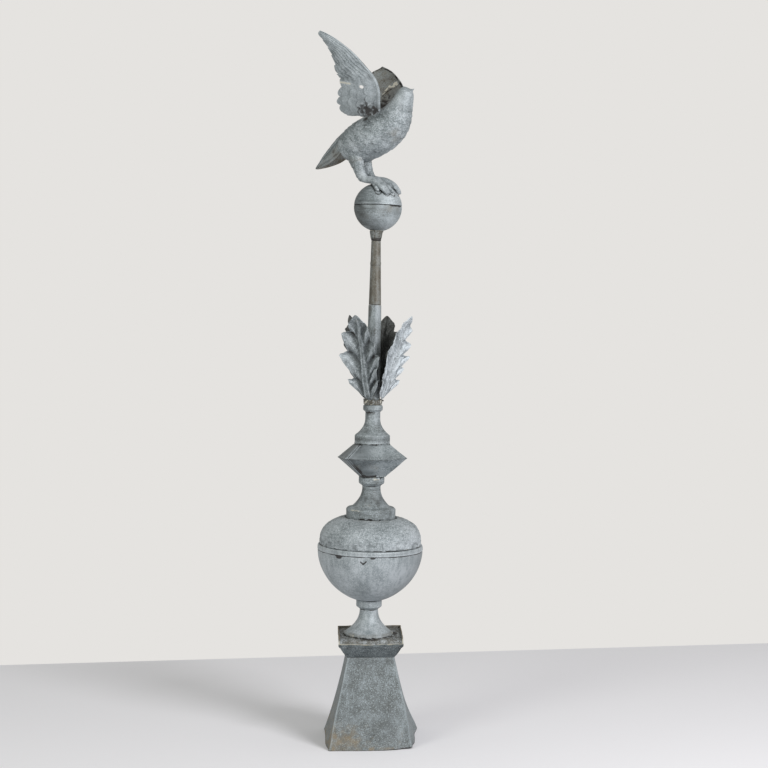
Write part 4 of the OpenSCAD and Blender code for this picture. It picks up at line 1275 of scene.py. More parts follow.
def leaf(sizes, i, reach, place):
    height, root = 210.0, 21.2
    rows, cols = 150, 73
    s = np.linspace(0, 1, rows)[:, None]
    t = np.linspace(-1, 1, cols)[None]

    def rib(x):
        return root + reach * (0.66 * x**0.7 + 0.34 * x**4)

    half = np.where(t < 0, read_off(LEAF_LEFT, 5, s), read_off(LEAF_RIGHT, 5, s))
    half = np.minimum(half, 1.2 * (rib(np.clip(s + 0.13, 0, 1)) - 2))
    far = np.abs(t)

    # The hollows between the lobes start at the notches and bend down along the rib.
    bent = np.clip(s + 0.1 * (1 - far) ** 1.2, 0, 1)
    swell = np.where(t < 0, read_off(SWELL_LEFT, 4, bent), read_off(SWELL_RIGHT, 4, bent))
    w = half * t
    # Small round bumps along the lobes.
    w = (
        w
        + np.sign(t) * ease(far, 0.7, 1) * 0.9 * np.abs(np.sin(math.pi * (s * 19 + 0.3 * i)))
        * ease(half, 12, 26)
    )
    # Each lobe starts along the rib and bends outwards to its tip.
    rise = 0.8 * half * (1 - (1 - far) ** 1.9) * (1 - 0.95 * ease(s, 0.8, 0.97))
    z = np.minimum(height * s + rise, height)
    out = rib(np.clip(s + 0.6 * rise / height, 0, 1)) + 0.2 * half * (1.4 * far**4 - 0.4 * far**2)
    # The lobes' tips roll outwards.
    out = out + 4.5 * swell * ease(far, 0.66, 1) * ease(half, 20, 45)
    grid = np.stack([out, w, z], -1)
    grid[..., 0] += 1.2 * grain(grid + 300 * i, 34, 61) * ease(s, 0.1, 0.5)
    # Each leaf is bent a little its own way at the tip.
    grid[..., 1] += (7.0, 0.0, 0.0, 0.0)[i] * s**3
    grid[..., 0] += (0.0, 0.0, -3.0, 8.0)[i] * s**3
    # Every leaf takes its unevenness from a place of its own.
    own = grid + 300 * i
    n = facing(grid, False)
    broad = ease(far, 0.08, 0.4) * (1 - 0.25 * ease(far, 0.9, 1)) * ease(half, 8, 30)
    pad = np.clip(swell, 0, 1) ** 1.5 * hump(far - 0.72, 0.26) * ease(half, 14, 34)
    relief = mm(sizes.lobe_h) * ((swell - 0.6) * broad + 0.6 * pad)
    veins = np.cos(2 * math.pi * (bent * 22 + 0.7 * grain(grid, 20, 64))) * broad * (1 - 0.7 * pad)
    relief = relief + 0.5 * veins + grain(own, 9, 65) * broad
    # The rib is a shallow channel between two rolls.
    roll = hump(np.abs(w) - 6.0 + 4.4 * s, 2.6 - 1.2 * s) * (1 - ease(s, 0.72, 0.9))
    relief = (
        relief + mm(sizes.rib_h) * roll + 0.35 * mm(sizes.rib_h) * hump(w, 2.0)
        - 1.4 * hump(np.abs(w) - 13 + 8 * s, 3.4) * (1 - ease(s, 0.75, 0.95))
    )
    relief = relief + 0.9 * grain(own, 5.5, 62) * (0.4 + 0.6 * broad)
    outer = grid + n * (relief + 0.8)[..., None]
    inner = grid + n * (relief - 0.8)[..., None]
    patch = patchy(own, 12, 63)
    sunk = (1 - np.clip(swell, 0, 1)) ** 1.3 * broad
    beside = hump(np.abs(w) - 12.5 + 7.5 * s, 4.5) * (1 - 0.5 * s) * ease(half, 8, 26)
    # The second leaf faces the brighter lamp and is painted lighter for it: a paler copy of the finish, and
    # less shade and grime painted in its hollows.
    painted_lit = i == 1
    sunk = sunk * (0.65 if painted_lit else 1.0)
    # Painted shade goes in the hollows between the lobes, beside the rib and in the vein troughs, with
    # mottling; painted highlights go on the lobes' pads, the rib's rolls and the tips.
    shade_and_mottle = (
        1.1 * sunk + 0.8 * beside * (0.6 if painted_lit else 1.0) + 0.45 * ease(-veins, 0.1, 0.9) * patch
        + 0.5 * hump(w, 2.4) * (1 - s) + 0.5 * flecks(own, 6.5, 66, 0.1, 0.7)
    )
    bloom = 1.1 * pad * (0.3 + 0.9 * patch) + 0.5 * roll * patch + 0.6 * ease(far, 0.88, 0.98) * patch
    notch = sunk**2 * ease(far, 0.35, 0.8) * ease(half, 16, 30)
    grime = (
        (0.6 * sunk**2 * ease(-far, -0.98, -0.6) + notch) * (0.4 * patch if painted_lit else patch)
        + 0.6 * hump(z, 9) * patch
    )
    wear = 0.35 * ease(far, 0.93, 1) * patch
    stain = 0.3 * patch * ease(-s, -0.4, 0) + 0.5 * hump(w, 5) * ease(s, 0.55, 0.9) * patch
    inside = 0.4 * patch * ease(-s, -0.7, 0)
    points, faces, sides = shell(outer, inner, False)
    marks = lined(
        hollow=(shade_and_mottle, 0.4 * sunk),
        bloom=(bloom, 0.15 * roll),
        grime=(grime, inside + 0.2 * sunk),
        wear=(wear, 0.25 * ease(far, 0.96, 1) * patch),
        stain=(stain, stain),
    )
    paint = [
        finish("zinc_stamped_leaf_painted_lit" if painted_lit else "zinc_stamped_leaf"),
        finish("zinc_stamped_leaf_inside")]
    stand(
        f"zinc_leaf_{i + 1}", points, faces, place, paint, [f"leaf_{i + 1}"], marks, sides,
        crisp=65)


class FINIAL_OT_leaves(bpy.types.Operator):
    """Four stamped acanthus leaves round the stem, ribbed outside and brown inside"""

    bl_idname = "finial.leaves"
    bl_label = "Leaves"

    def execute(self, context):
        z_leaf = measure("stem_lower", UPPER)[0][2]
        for i in range(4):
            place = UPPER @ shift(0, 0, z_leaf) @ turn("Z", 238 + 90 * i)
            leaf(context.scene.finial_sizes, i, 84.0 if i < 2 else 44.0, place)
        return {"FINISHED"}


class FINIAL_OT_stem(bpy.types.Operator):
    """Two tapered tubes and the ribbed cup that holds the small ball"""

    bl_idname = "finial.stem"
    bl_label = "Stem"

    def execute(self, context):
        sizes = context.scene.finial_sizes
        z0, h = span("stem_lower", UPPER)
        r0, r1 = 17.6, 16.0

        def low_dress(p, a, marks, patch):
            z = p[..., 2]
            marks["grime"] += 0.8 * hump(z, 9) * patch + 0.7 * hump(z - h, 1.6)
            # Brown stain runs down both side edges of the tube and darkens them as painted shade.
            marks["stain"] += (
                0.55 * around(a, 15, 38) * patch + 0.5 * around(a, 195, 34) * patch + 0.3 * hump(z - h, 22)
            )
            return 0.64 * around(a, 20, 9)

        turned(
            "zinc_stem_lower", [(0, 0), (r0, 0), (r1, h - 1.2), (r1 - 0.6, h), (0, h)], UPPER, (0, 0, z0),
            "zinc_tube_streaked", "stem_lower", segs=96, wobble=0.45, step=5, dress=low_dress,
            seed=11)

        z0, h = span("stem_upper", UPPER)
        r0, r1 = 15.4, 12.0

        def high_dress(p, a, marks, patch):
            z = p[..., 2]
            marks["grime"] += 0.75 * hump(z - 99, 1.8) + 0.7 * hump(z - h, 5) * patch + 0.5 * hump(z, 3)
            # The left edge, away from the brighter lamp, gets painted shade.
            marks["grime"] += 0.35 * around(a, 190, 30) * patch
            marks["stain"] += 0.5 + 0.5 * around(a, 5, 45) * patch
            marks["wear"] += 0.45 * hump(z - 104, 2.2) * patch
            return 0.9 * hump(z - 103, 2.5)

        turned(
            "zinc_stem_upper", [(0, 0), (r0, 0), (r0 + (r1 - r0) * 0.64, 101), (r1, h), (0, h)], UPPER,
            (0, 0, z0), "zinc_tube_brown", "stem_upper", segs=96, wobble=0.4, step=3,
            dress=high_dress, seed=12)

        z0 = measure("stem_cup", UPPER)[0][2]

        def cup_dress(p, a, marks, patch):
            z = p[..., 2]
            marks["grime"] += 0.55 * patch + 0.8 * hump(z - 3, 3)
            marks["wear"] += 0.5 * hump(z - 25, 1.6) * patch
            return 2.6 * around(a, 2, 9) * hump(z - 23.5, 2.6)

        turned(
            "zinc_cup", [(0, 0), (12.4, 0), (12.6, 5), (15.9, 25.4), (15.2, 26.2), (13.6, 25.2), (0, 23.5)],
            UPPER, (0, 0, z0), "zinc_tube_brown", "stem_cup", segs=104, wobble=0.3, step=1.5,
            dress=cup_dress, seed=13)
        grown("cup_ribs", cup_ribs_tree(), {
            "Count": sizes.rib_count, "Radius": 14.1 * MM, "Rib width": 0.95 * MM, "Rib length": 18 * MM,
            "Lean out": 0.157, "Material": finish("zinc_tube_brown")}, UPPER, z0 + 15)
        return {"FINISHED"}


class FINIAL_OT_small_ball(bpy.types.Operator):
    """Small ball in two spun halves with a ragged soldered seam"""

    bl_idname = "finial.small_ball"
    bl_label = "Small ball"

    def execute(self, context):
        r, seam = BALL_R, 4.0
        rise = math.asin(seam / r)
        low = [(r * math.cos(a), r * math.sin(a)) for a in np.linspace(-math.pi / 2, rise, 40)]
        high = [(r * math.cos(a), r * math.sin(a)) for a in np.linspace(rise, math.pi / 2, 36)]

        def line(p, a, marks, patch):
            x, z = p[..., 0], p[..., 2]
            torn = seam - 0.03 * x + grain(p * (1, 1, 0.2), 9, 71)
            marks["grime"] += (
                0.9 * hump(z - torn, 1.5 + 0.9 * around(a, -40, 30))
                * (0.35 + 0.6 * flecks(p, 6, 75, -0.6, 0.3))
            )
            # Painted shade goes on the left side and underneath, and a painted highlight on the front right,
            # which faces the brighter lamp; the bands by the seam add painted shade and mottling.
            marks["hollow"] = (
                0.6 * hump(z - seam + 3, 6) * patch
                + 0.9 * hump(z - seam + 17, 9) * flecks(p * (0.4, 0.4, 1), 9, 76, -0.3, 0.6)
                + 0.7 * hump(z - seam - 9, 4) * flecks(p * (0.4, 0.4, 1), 9, 77, 0, 0.6)
            )
            marks["hollow"] += 0.7 * around(a, 190, 60) + 0.35 * hump(z + r, 30)
            marks["bloom"] = (
                0.7 * around(a, -35, 45) + 0.55 * flecks(p * (0.4, 0.4, 1), 10, 78, 0.0, 0.8)
                + 0.35 * hump(z - torn - 3, 1.4) * patch
            )
            return -0.35 - 0.5 * hump(z - torn, 1.4)

        def low_dress(p, a, marks, patch):
            marks["grime"] += 0.35 * flecks(p, 17, 72, 0.15, 0.8) + 0.4 * hump(p[..., 2] + r, 8)
            marks["stain"] += 0.8 * around(a, -55, 22) * hump(p[..., 2] + 6, 10) * patch + 0.3 * patch
            return line(p, a, marks, patch)

        def high_dress(p, a, marks, patch):
            marks["stain"] += 0.75 * around(a, -40, 18) * hump(p[..., 2] - 7, 8) * patch
            # A dark ring is painted round each toe where it lies on the ball, as its contact shadow.
            q = (p @ UPPER[:3, :3].T) @ turn("Z", -BIRD_TURN)[:3, :3].T
            for side in (-1, 1):
                for k in range(len(TOES)):
                    start, end = toe(side, k)
                    along = end - start
                    t = np.clip(np.sum((q / r - start) * along, axis=-1) / np.dot(along, along), 0, 1)
                    away = np.linalg.norm(q / r - start - t[..., None] * along, axis=-1) * r
                    marks["grime"] += 0.7 * hump(away - 7.5, 2.4)
            marks["wear"] += 0.35 * flecks(p, 9, 74, 0.3, 0.9)
            return line(p, a, marks, patch)

        turned(
            "zinc_small_ball_lower", [*low, (0, seam)], UPPER, BALL_MID, "zinc_spun_mottled",
            "small_ball_lower", segs=180, wobble=0.35, step=2, dress=low_dress, edge=0.1,
            seed=14)
        turned(
            "zinc_small_ball_upper", [(0, seam), *high], UPPER, BALL_MID, "zinc_spun_brushed",
            "small_ball_upper", segs=180, wobble=0.35, step=2, dress=high_dress, edge=0.1,
            seed=15)
        return {"FINISHED"}


# ------------------------------------------------------------------ bird
# The bird's own place has x forward, y to its left and z up from the middle
# of the small ball. A body station is back [x, z], breast [x, z] and half
# width as a share of the fullest.
BODY = [
    (-112, 168, -94, 128, 0.30), (-108, 175, -84, 116, 0.55), (-100, 183, -58, 110, 0.74),
    (-88, 194, -27, 114, 0.88), (-73, 205, 4, 125, 0.97), (-54, 216, 35, 140, 1.00),
    (-32, 226, 61, 160, 0.97), (-9, 235, 79, 184, 0.90), (12, 242, 89, 208, 0.80),
    (27, 250, 92.5, 230, 0.67), (38, 259, 95, 246, 0.56), (47, 269, 97.5, 259, 0.47),
    (55, 280, 98.5, 268, 0.41), (63, 290, 98.5, 274, 0.36), (73, 295, 97.5, 276.5, 0.31),
    (83, 292.5, 97.5, 278, 0.22), (90, 289.5, 97, 280, 0.13), (96, 289, 98, 282, 0.08),
    (103, 289.5, 102, 287.5, 0.02)]
TAIL = [
    (-100, 184, -84, 146, 1.10), (-112, 174, -92, 134, 1.05), (-128, 158, -106, 122, 1.00),
    (-142, 143, -122, 112, 0.88), (-155, 129, -140, 105, 0.70), (-167, 114, -157, 100, 0.46),
    (-176, 103, -171, 97, 0.22), (-180, 97, -179, 96, 0.08)]
# A wing station is leading edge [x, z] and trailing edge [x, z], root to tip.
RIGHT_WING = [
    (24, 224, -36, 226), (31, 238, -72, 229), (37, 256, -84, 247), (43, 272, -83, 264), (46, 288, -73, 283),
    (45, 304, -60, 302), (39, 320, -59, 319), (27, 338, -65, 331), (12, 360, -60, 348), (-2, 377, -60, 367),
    (-17, 391, -62, 380), (-36, 407, -67, 395), (-55, 418, -72, 407), (-71, 425, -78, 416)]
LEFT_WING = [
    (24, 224, -36, 226), (31, 238, -72, 229), (36, 254, -84, 247), (36, 272, -86, 264), (29, 292, -88, 283),
    (14, 310, -91, 302), (-7, 328, -94, 318), (-32, 345, -93, 332), (-63, 358, -84, 346)]
# The left foot's toe tips in the bird's place. The right foot mirrors them.
TOES = [(24, 40, 38), (41, 28, 34), (49, 11, 34)]
# A leg station is middle [x, z], half size along [x, z], half size across,
# and how far the middle turns out.
LEG = [
    (-50, 134, 23, 4, 18, 0), (-50, 117, 20, 4, 17.5, 0), (-45, 101, 15, 5, 14, 0),
    (-39, 86, 12.5, 6, 12, 0), (-32, 74, 9.5, 8.5, 10.5, 0), (-21, 69, 3, 9, 11, 0), (-6, 67, 0, 9.5, 14, 0),
    (11, 63, 3, 9, 17, 2), (26, 54, 5, 8, 18.5, 4), (38, 42, 5.5, 5, 18, 5), (45, 33, 3, 2.5, 12, 5)]
BODY_W, TAIL_W, LEG_OUT = 56.0, 27.0, 20.0
# The feet stay this far off the ball, in mm.
FOOT_GAP = 0.2
# How far a feather's rounded end reaches over the next row, in rows.
ROUND = 0.52


def toe(side, k):
    """Ways from the ball's middle to where a toe leaves the foot and to its tip."""
    x, y, z = TOES[k]
    start, end = np.array((2.0, side * (24 - 4 * k), 62.0)), np.array((x, side * y, z), float)
    return start / np.linalg.norm(start), end / np.linalg.norm(end)


def off_ball(grid):
    """Moves points that sink into the ball out to its surface. Returns their old distances too."""
    away = np.linalg.norm(grid, axis=-1)
    return grid * np.where(away < BALL_R + FOOT_GAP, (BALL_R + FOOT_GAP) / away, 1)[..., None], away


def pushed_out(grid, push):
    """Moves the points of a ring grid outwards, whichever way round its rings run."""
    n = facing(grid, True)
    way = np.sign(np.sum(n * (grid - grid.mean(1, keepdims=True)), axis=-1).mean())
    return grid + n * way * push[..., None]


def feathered(u, v):
    """Rounded feathers lapped like slates.

    There is one row to each unit of u and one feather to each unit of v.
    Returns the feathers' height, and how near each point is to a feather's
    rim: above 0 on the feather, below 0 in the shade past it.
    """
    row = np.floor(u)

    def reach(r):
        side = (v + 0.5 * (r % 2)) % 1 - 0.5
        return side, 1.0 + ROUND * np.sqrt(np.clip(1 - (2 * side) ** 2, 0, 1))

    over_side, over = reach(row - 1)
    own_side = reach(row)[0]
    run = u - row + 1
    lapped = run < over
    pos = np.where(lapped, run, run - 1) / (1 + ROUND)
    side = np.where(lapped, over_side, own_side)
    rim = over - run
    height = pos - 0.3 * (2 * side) ** 2 * pos + 0.12 * hump(side, 0.06) * ease(pos, 0.2, 0.6)
    return height, rim


def righted(points, faces):
    """Turns a closed mesh's faces outwards."""
    total = 0.0
    for f in faces:
        a, b, c = points[f[0]], points[f[1]], points[f[2]]
        total += float(np.dot(a, np.cross(b, c)))
        if len(f) == 4:
            total += float(np.dot(a, np.cross(c, points[f[3]])))
    return [tuple(reversed(f)) for f in faces] if total < 0 else faces


class FINIAL_OT_bird_body(bpy.types.Operator):
    """Stamped body of the bird, feathered below a smooth neck, with a seam down the middle"""

    bl_idname = "finial.bird_body"
    bl_label = "Bird's body"

    def execute(self, context):
        sizes = context.scene.finial_sizes
        line = through(BODY, 9)[::-1]
        segs = 192
        a = circle(segs)
        mid = (line[:, :2] + line[:, 2:4]) / 2
        arm = (line[:, :2] - line[:, 2:4]) / 2
        wide = np.maximum(line[:, 4], 0.01) * BODY_W
        grid = np.zeros((len(line), segs, 3))
        grid[..., 0] = mid[:, 0, None] + arm[:, 0, None] * np.cos(a)
        grid[..., 2] = mid[:, 1, None] + arm[:, 1, None] * np.cos(a)
        grid[..., 1] = -wide[:, None] * np.sin(a)
        # Rows of feathers run from the head to the tail, each as long as it is wide.
        girth = np.sum(np.linalg.norm(grid - np.roll(grid, 1, 1), axis=-1), axis=1)
        around_count = max(10, round(400 / mm(sizes.feather)))
        step = np.linalg.norm(np.diff(mid, axis=0), axis=1)
        size = (girth[1:] + girth[:-1]) / 2 / around_count
        u = np.concatenate([[0], np.cumsum(step / np.maximum(size, 3))])[:, None]
        v = a[None] / (2 * math.pi) * around_count
        x, y, z = grid[..., 0], grid[..., 1], grid[..., 2]
        jitter = 0.12 * grain(grid, 16, 81)
        height, rim = feathered(u + jitter, v + 0.1 * grain(grid, 16, 82))
        coat = (1 - ease(z - 0.25 * (x - 60), 228, 262)) * (0.35 + 0.65 * ease(girth[:, None], 90, 220))
        neck = ease(z, 236, 262)
        push = mm(sizes.feather_h) * (height - 0.9) * coat - 0.3
        barbs = grain(grid * (0.35, 0.35, 0.35), 1.6, 83) * 0.2
        push = push + barbs * (0.3 + coat) + 0.5 * grain(grid, 30, 84) - 0.3
        # The two stamped halves meet in a soldered seam down the back and breast.
        seam = hump(y, 1.8) * (x < 92)
        push = push + 0.9 * seam - 0.5 * hump(np.abs(y) - 4.5, 1.6) * (x < 88)
        # Eyes: a raised ring with a dark pupil.
        eye = np.minimum(*(away_from(grid, (77, out, 287.5), (1, 0.6, 1)) for out in (-15, 15)))
        push = push + 0.9 * hump(eye - 3.4, 1.2) - 0.8 * hump(eye, 2.0)
        gape = hump(z - 284.6 - 0.12 * (x - 90), 0.7) * ease(x, 84, 90)
        push = push - 0.7 * gape
        patch = patchy(grid, 14, 85)
        shade_past = hump(rim + 0.06, 0.07) * (rim < 0.02)
        on_rim = hump(rim - 0.05, 0.06) * (rim > 0)
        near = y < 0
        # Painted shade goes past each feather's rim and on the feathers' low parts; painted highlights go on
        # the rims, the feathers' crowns and the neck's front, with mottling and chalk flecks.
        shade_and_mottle = (
            0.6 * shade_past * coat + 0.25 * ease(0.45 - height, 0, 0.6) * coat
            + 0.5 * flecks(grid, 18, 87, 0.1, 0.8) * (1 - 0.7 * neck)
        )
        bloom = (
            0.7 * on_rim * coat + 0.25 * ease(height, 0.8, 1.0) * coat
            + 0.6 * neck * (0.5 + 0.5 * patch) * (x > 40)
            + 0.4 * flecks(grid, 4, 88, 0.2, 0.7) * ease(-z, -175, -140)
        )
        grime = (
            0.3 * shade_past * coat * patch + 0.5 * hump(np.abs(y) - 3.6, 1.3) * patch
            + 0.9 * hump(eye, 1.7) + 0.6 * gape
        )
        grime = (
            grime
            + 0.95 * hump(away_from(grid, (-14, -50, 222), (0.75, 0.5, 1.1)), 15) * (0.4 + patch) * near
        )
        grime = (
            grime + 0.85 * hump(away_from(grid, (12, 0, 240), (0.8, 0.7, 1)), 20)
            + 0.5 * hump(away_from(grid, (34, 8, 262), (1, 0.6, 1)), 14) * patch
        )
        wear = 0.25 * on_rim * coat * patch + 0.5 * seam * patch
        wear = wear + 0.8 * hump(away_from(grid, (20, -44, 214), (0.6, 1, 1)), 6)
        stain = 0.55 * hump(away_from(grid, (62, -30, 172), (1, 0.5, 0.7)), 22) * (0.4 + patch)
        stain = (
            stain + 0.45 * hump(z - 118, 12) * patch
            + 0.8 * hump(away_from(grid, (36, -14, 232), (1, 0.6, 1)), 8)
        )
        points, faces = closed(pushed_out(grid, push))
        faces = righted(points, faces)
        marks = poled(grime=grime, wear=wear, stain=stain, hollow=shade_and_mottle, bloom=bloom)
        stand(
            "zinc_bird_body", points, faces, BIRD, [finish("zinc_stamped_bird")], ["bird_body"],
            marks, crisp=70)
        return {"FINISHED"}


def wing(sizes, name, node, stations, side, slope, seed):
    line = through(stations, 14 if side < 0 else 20)
    rows, cols = len(line), 85
    s = np.linspace(0, 1, rows)[:, None]
    t = np.linspace(0, 1, cols)[None]
    # The trailing edge is cut into feather ends, rounded low down and pointed above.
    low_cut = np.abs(np.sin(math.pi * (s * 11 + 0.1))) ** 0.7
    high_cut = ((s * 10) % 1) ** 0.8
    cut = np.where(s < 0.45, low_cut, high_cut)
    chord = 1 - (0.075 * (1 - cut)) * ease(s, 0.02, 0.1) * (1 - ease(s, 0.93, 1))
    tt = t * chord
    x = line[:, 0, None] + (line[:, 2] - line[:, 0])[:, None] * tt
    z = line[:, 1, None] + (line[:, 3] - line[:, 1])[:, None] * tt
    bow = 12 * np.sin(math.pi * t) * (1 - 0.6 * s)
    out = (BODY_W - 16) + slope * (z - 235) + bow
    grid = np.stack([x, side * out, z], -1)
    wide = np.linalg.norm(line[:, :2] - line[:, 2:4], axis=1)[:, None]
    length = (
        np.sum(
            np.linalg.norm(np.diff((line[:, :2] + line[:, 2:4]) / 2, axis=0), axis=1)
        ) * math.hypot(1, slope)
    )
    height, rim = feathered(
        tt * wide / 24 + 0.35 * grain(grid, 26, seed), s * length / 23 + 0.3 * grain(grid, 26, seed + 1))
    # Long feathers run out from the leading edge and end along the trailing edge.
    q = 7.5 * (t - 0.92 * (s - 0.36)) + 0.6 * grain(grid, 34, seed + 2) + 0.25 * grain(grid, 11, seed + 15)
    f = q % 1
    quill = f - 0.9 * ease(f, 0.9, 1) + 0.12 * hump(f - 0.5, 0.05)
    split = hump(f - 0.97, 0.06) + hump(f, 0.05)
    long = ease(s, 0.36, 0.47) + 0 * t
    coverts = (1 - long) * ease(t, 0.05, 0.16)
    worn = 0.5 + 0.7 * grain(grid, 18, seed + 12)
    relief = (
        mm(sizes.feather_h) * (height - 0.5) * coverts * worn
        + mm(sizes.quill_h) * 0.6 * (quill - 0.5) * worn * long * ease(t, 0.03, 0.1)
    )
    relief = relief + 2.2 * hump(t - 0.035, 0.035) * (1 - 0.5 * s) + 0.25 * grain(grid, 5, seed + 3)
    order = slice(None, None, -1) if side < 0 else slice(None)
    grid, relief = grid[:, order], relief[:, order]
    n = facing(grid, False)
    skin = 1.1 - 0.75 * ease((s + 0 * t)[:, order], 0.95, 1)
    outer = grid + n * (skin + np.maximum(relief, -skin - 0.1))[..., None]
    edge = np.minimum(np.minimum(t, 1 - t) * wide, (1 - s) * length)[:, order]
    roll = 1.6 * hump(edge - 2.2, 2.2)
    inner = grid - n * (skin * (1 + roll) - 0.35 * np.clip(relief, -1, 2) * skin)[..., None]
    keep = None
    if side < 0:
        hx, hz, ax, az = 2.0, 292.0, 5.9, 4.2
        rho = (
            np.hypot((grid[..., 0] - hx) / ax, (grid[..., 2] - hz) / az)
            * (1 + 0.12 * grain(grid, 4, seed + 4))
        )
        cell = (rho[:-1, :-1] + rho[1:, :-1] + rho[:-1, 1:] + rho[1:, 1:]) / 4
        keep = cell > 1
    patch = patchy(grid, 13, seed + 5)
    T = (t + 0 * s)[:, order]
    rimo, longo, covo, splito = rim[:, order], long[:, order], coverts[:, order], split[:, order]
    X, Z = grid[..., 0], grid[..., 2]
    past, on_rim = hump(rimo + 0.07, 0.1) * (rimo < 0.02), hump(rimo - 0.06, 0.08) * (rimo > 0)
    # Painted shade goes past the feathers' rims and in the splits between the quills; painted highlights go
    # on the rims, the quills and the rolled leading edge, with mottling and chalk flecks.
    shade_and_mottle = (
        0.65 * past * covo * (0.3 + patch) + 0.6 * splito * longo * (T > 0.05) * (0.3 + patch)
        + 0.55 * flecks(grid, 20, seed + 7, 0.0, 0.8) * (0.4 + 0.6 * longo)
    )
    bloom = (
        0.5 * on_rim * covo * (0.3 + patch)
        + 0.6 * longo * hump((q % 1)[:, order] - 0.6, 0.2) * (0.3 + patch) + 0.6 * hump(T - 0.035, 0.035)
        + 0.35 * covo + 0.4 * flecks(grid, 9, seed + 10, 0, 0.7)
    )
    grime = 0.3 * past * covo * patch + 0.3 * splito * longo * (T > 0.06) * patch
    wear = 0.2 * on_rim * covo * patch + 0.3 * hump(edge, 1.2) * patch
    stain = 0.35 * patch * ease(-Z, -250, -225)
    if side < 0:
        ragged = flecks(grid, 6, seed + 13, -0.7, 0.5)
        # By the right wing's root, grime and painted shade darken it together.
        grime += 0.95 * hump(np.hypot((X - 5) * 0.5, (Z - 238) * 0.75), 18) * (0.6 + 0.4 * ragged)
        shade_and_mottle += 0.7 * hump(np.hypot((X - 8) * 0.45, (Z - 242) * 0.75), 20)
        band = hump((Z - 304) + 0.18 * (X + 45), 4.0) * ease(-X, 14, 30)
        wear += 0.8 * band
        bloom += band + 0.5 * hump(rho - 1.15, 0.2)
    speckle = flecks(grid, 6, seed + 11, -0.4, 0.4)
    inside_grime = 1.1 * hump(edge - 2, 5.5) * speckle + 0.3 * flecks(grid, 18, seed + 6, 0.2, 0.8)
    inside_wear = 0.1 * patch
    inside_stain = 0.35 * patch
    if side > 0:
        # A torn pale streak runs up and forward, above the painted shadow by the neck.
        bend = Z - np.interp(X, (-36, -25, -12, 4, 12), (284, 299, 306, 314, 322))
        streak = hump(bend + 2.5 * grain(grid, 7, seed + 14), 5.5) * ease(X, -38, -30) * ease(-X, -10, -2)
        inside_wear = inside_wear + 1.2 * streak * speckle + 0.4 * streak
        inside_stain = inside_stain + hump(np.hypot(X + 11, Z - 238), 9)
        # The dark patch on the inner face beside the neck is a painted shadow of the neck.
        inside_grime = (
            inside_grime
            + 0.85 * hump(np.hypot((X + 19) * 0.9, (Z - 263) * 0.62), 17) * (0.5 + 0.5 * speckle) - streak
        )
        inside_grime = inside_grime + 0.6 * hump(bend + 8, 3.5) * ease(X, -38, -30)
    points, faces, sides = shell(outer, inner, False, keep)
    marks = lined(
        grime=(grime, inside_grime),
        wear=(wear, inside_wear),
        stain=(stain, inside_stain),
        hollow=(shade_and_mottle, 0.5 * flecks(grid, 24, seed + 8, 0, 0.8)),
        bloom=(bloom, 0.3 * flecks(grid, 20, seed + 9, 0.1, 0.8)),
    )
    stand(name, points, faces, BIRD, [finish("zinc_stamped_wing"), finish("zinc_stamped_wing_inside")],
          [node], marks, sides, crisp=60)


class FINIAL_OT_bird_wings(bpy.types.Operator):
    """Two stamped wings, feathered outside and plain inside, the right one with a hole"""

    bl_idname = "finial.bird_wings"
    bl_label = "Bird's wings"

    def execute(self, context):
        wing(
            context.scene.finial_sizes, "zinc_wing_right", "wing_right", RIGHT_WING, -1, 0.62,
            91)
        wing(context.scene.finial_sizes, "zinc_wing_left", "wing_left", LEFT_WING, 1, 0.76, 96)
        return {"FINISHED"}


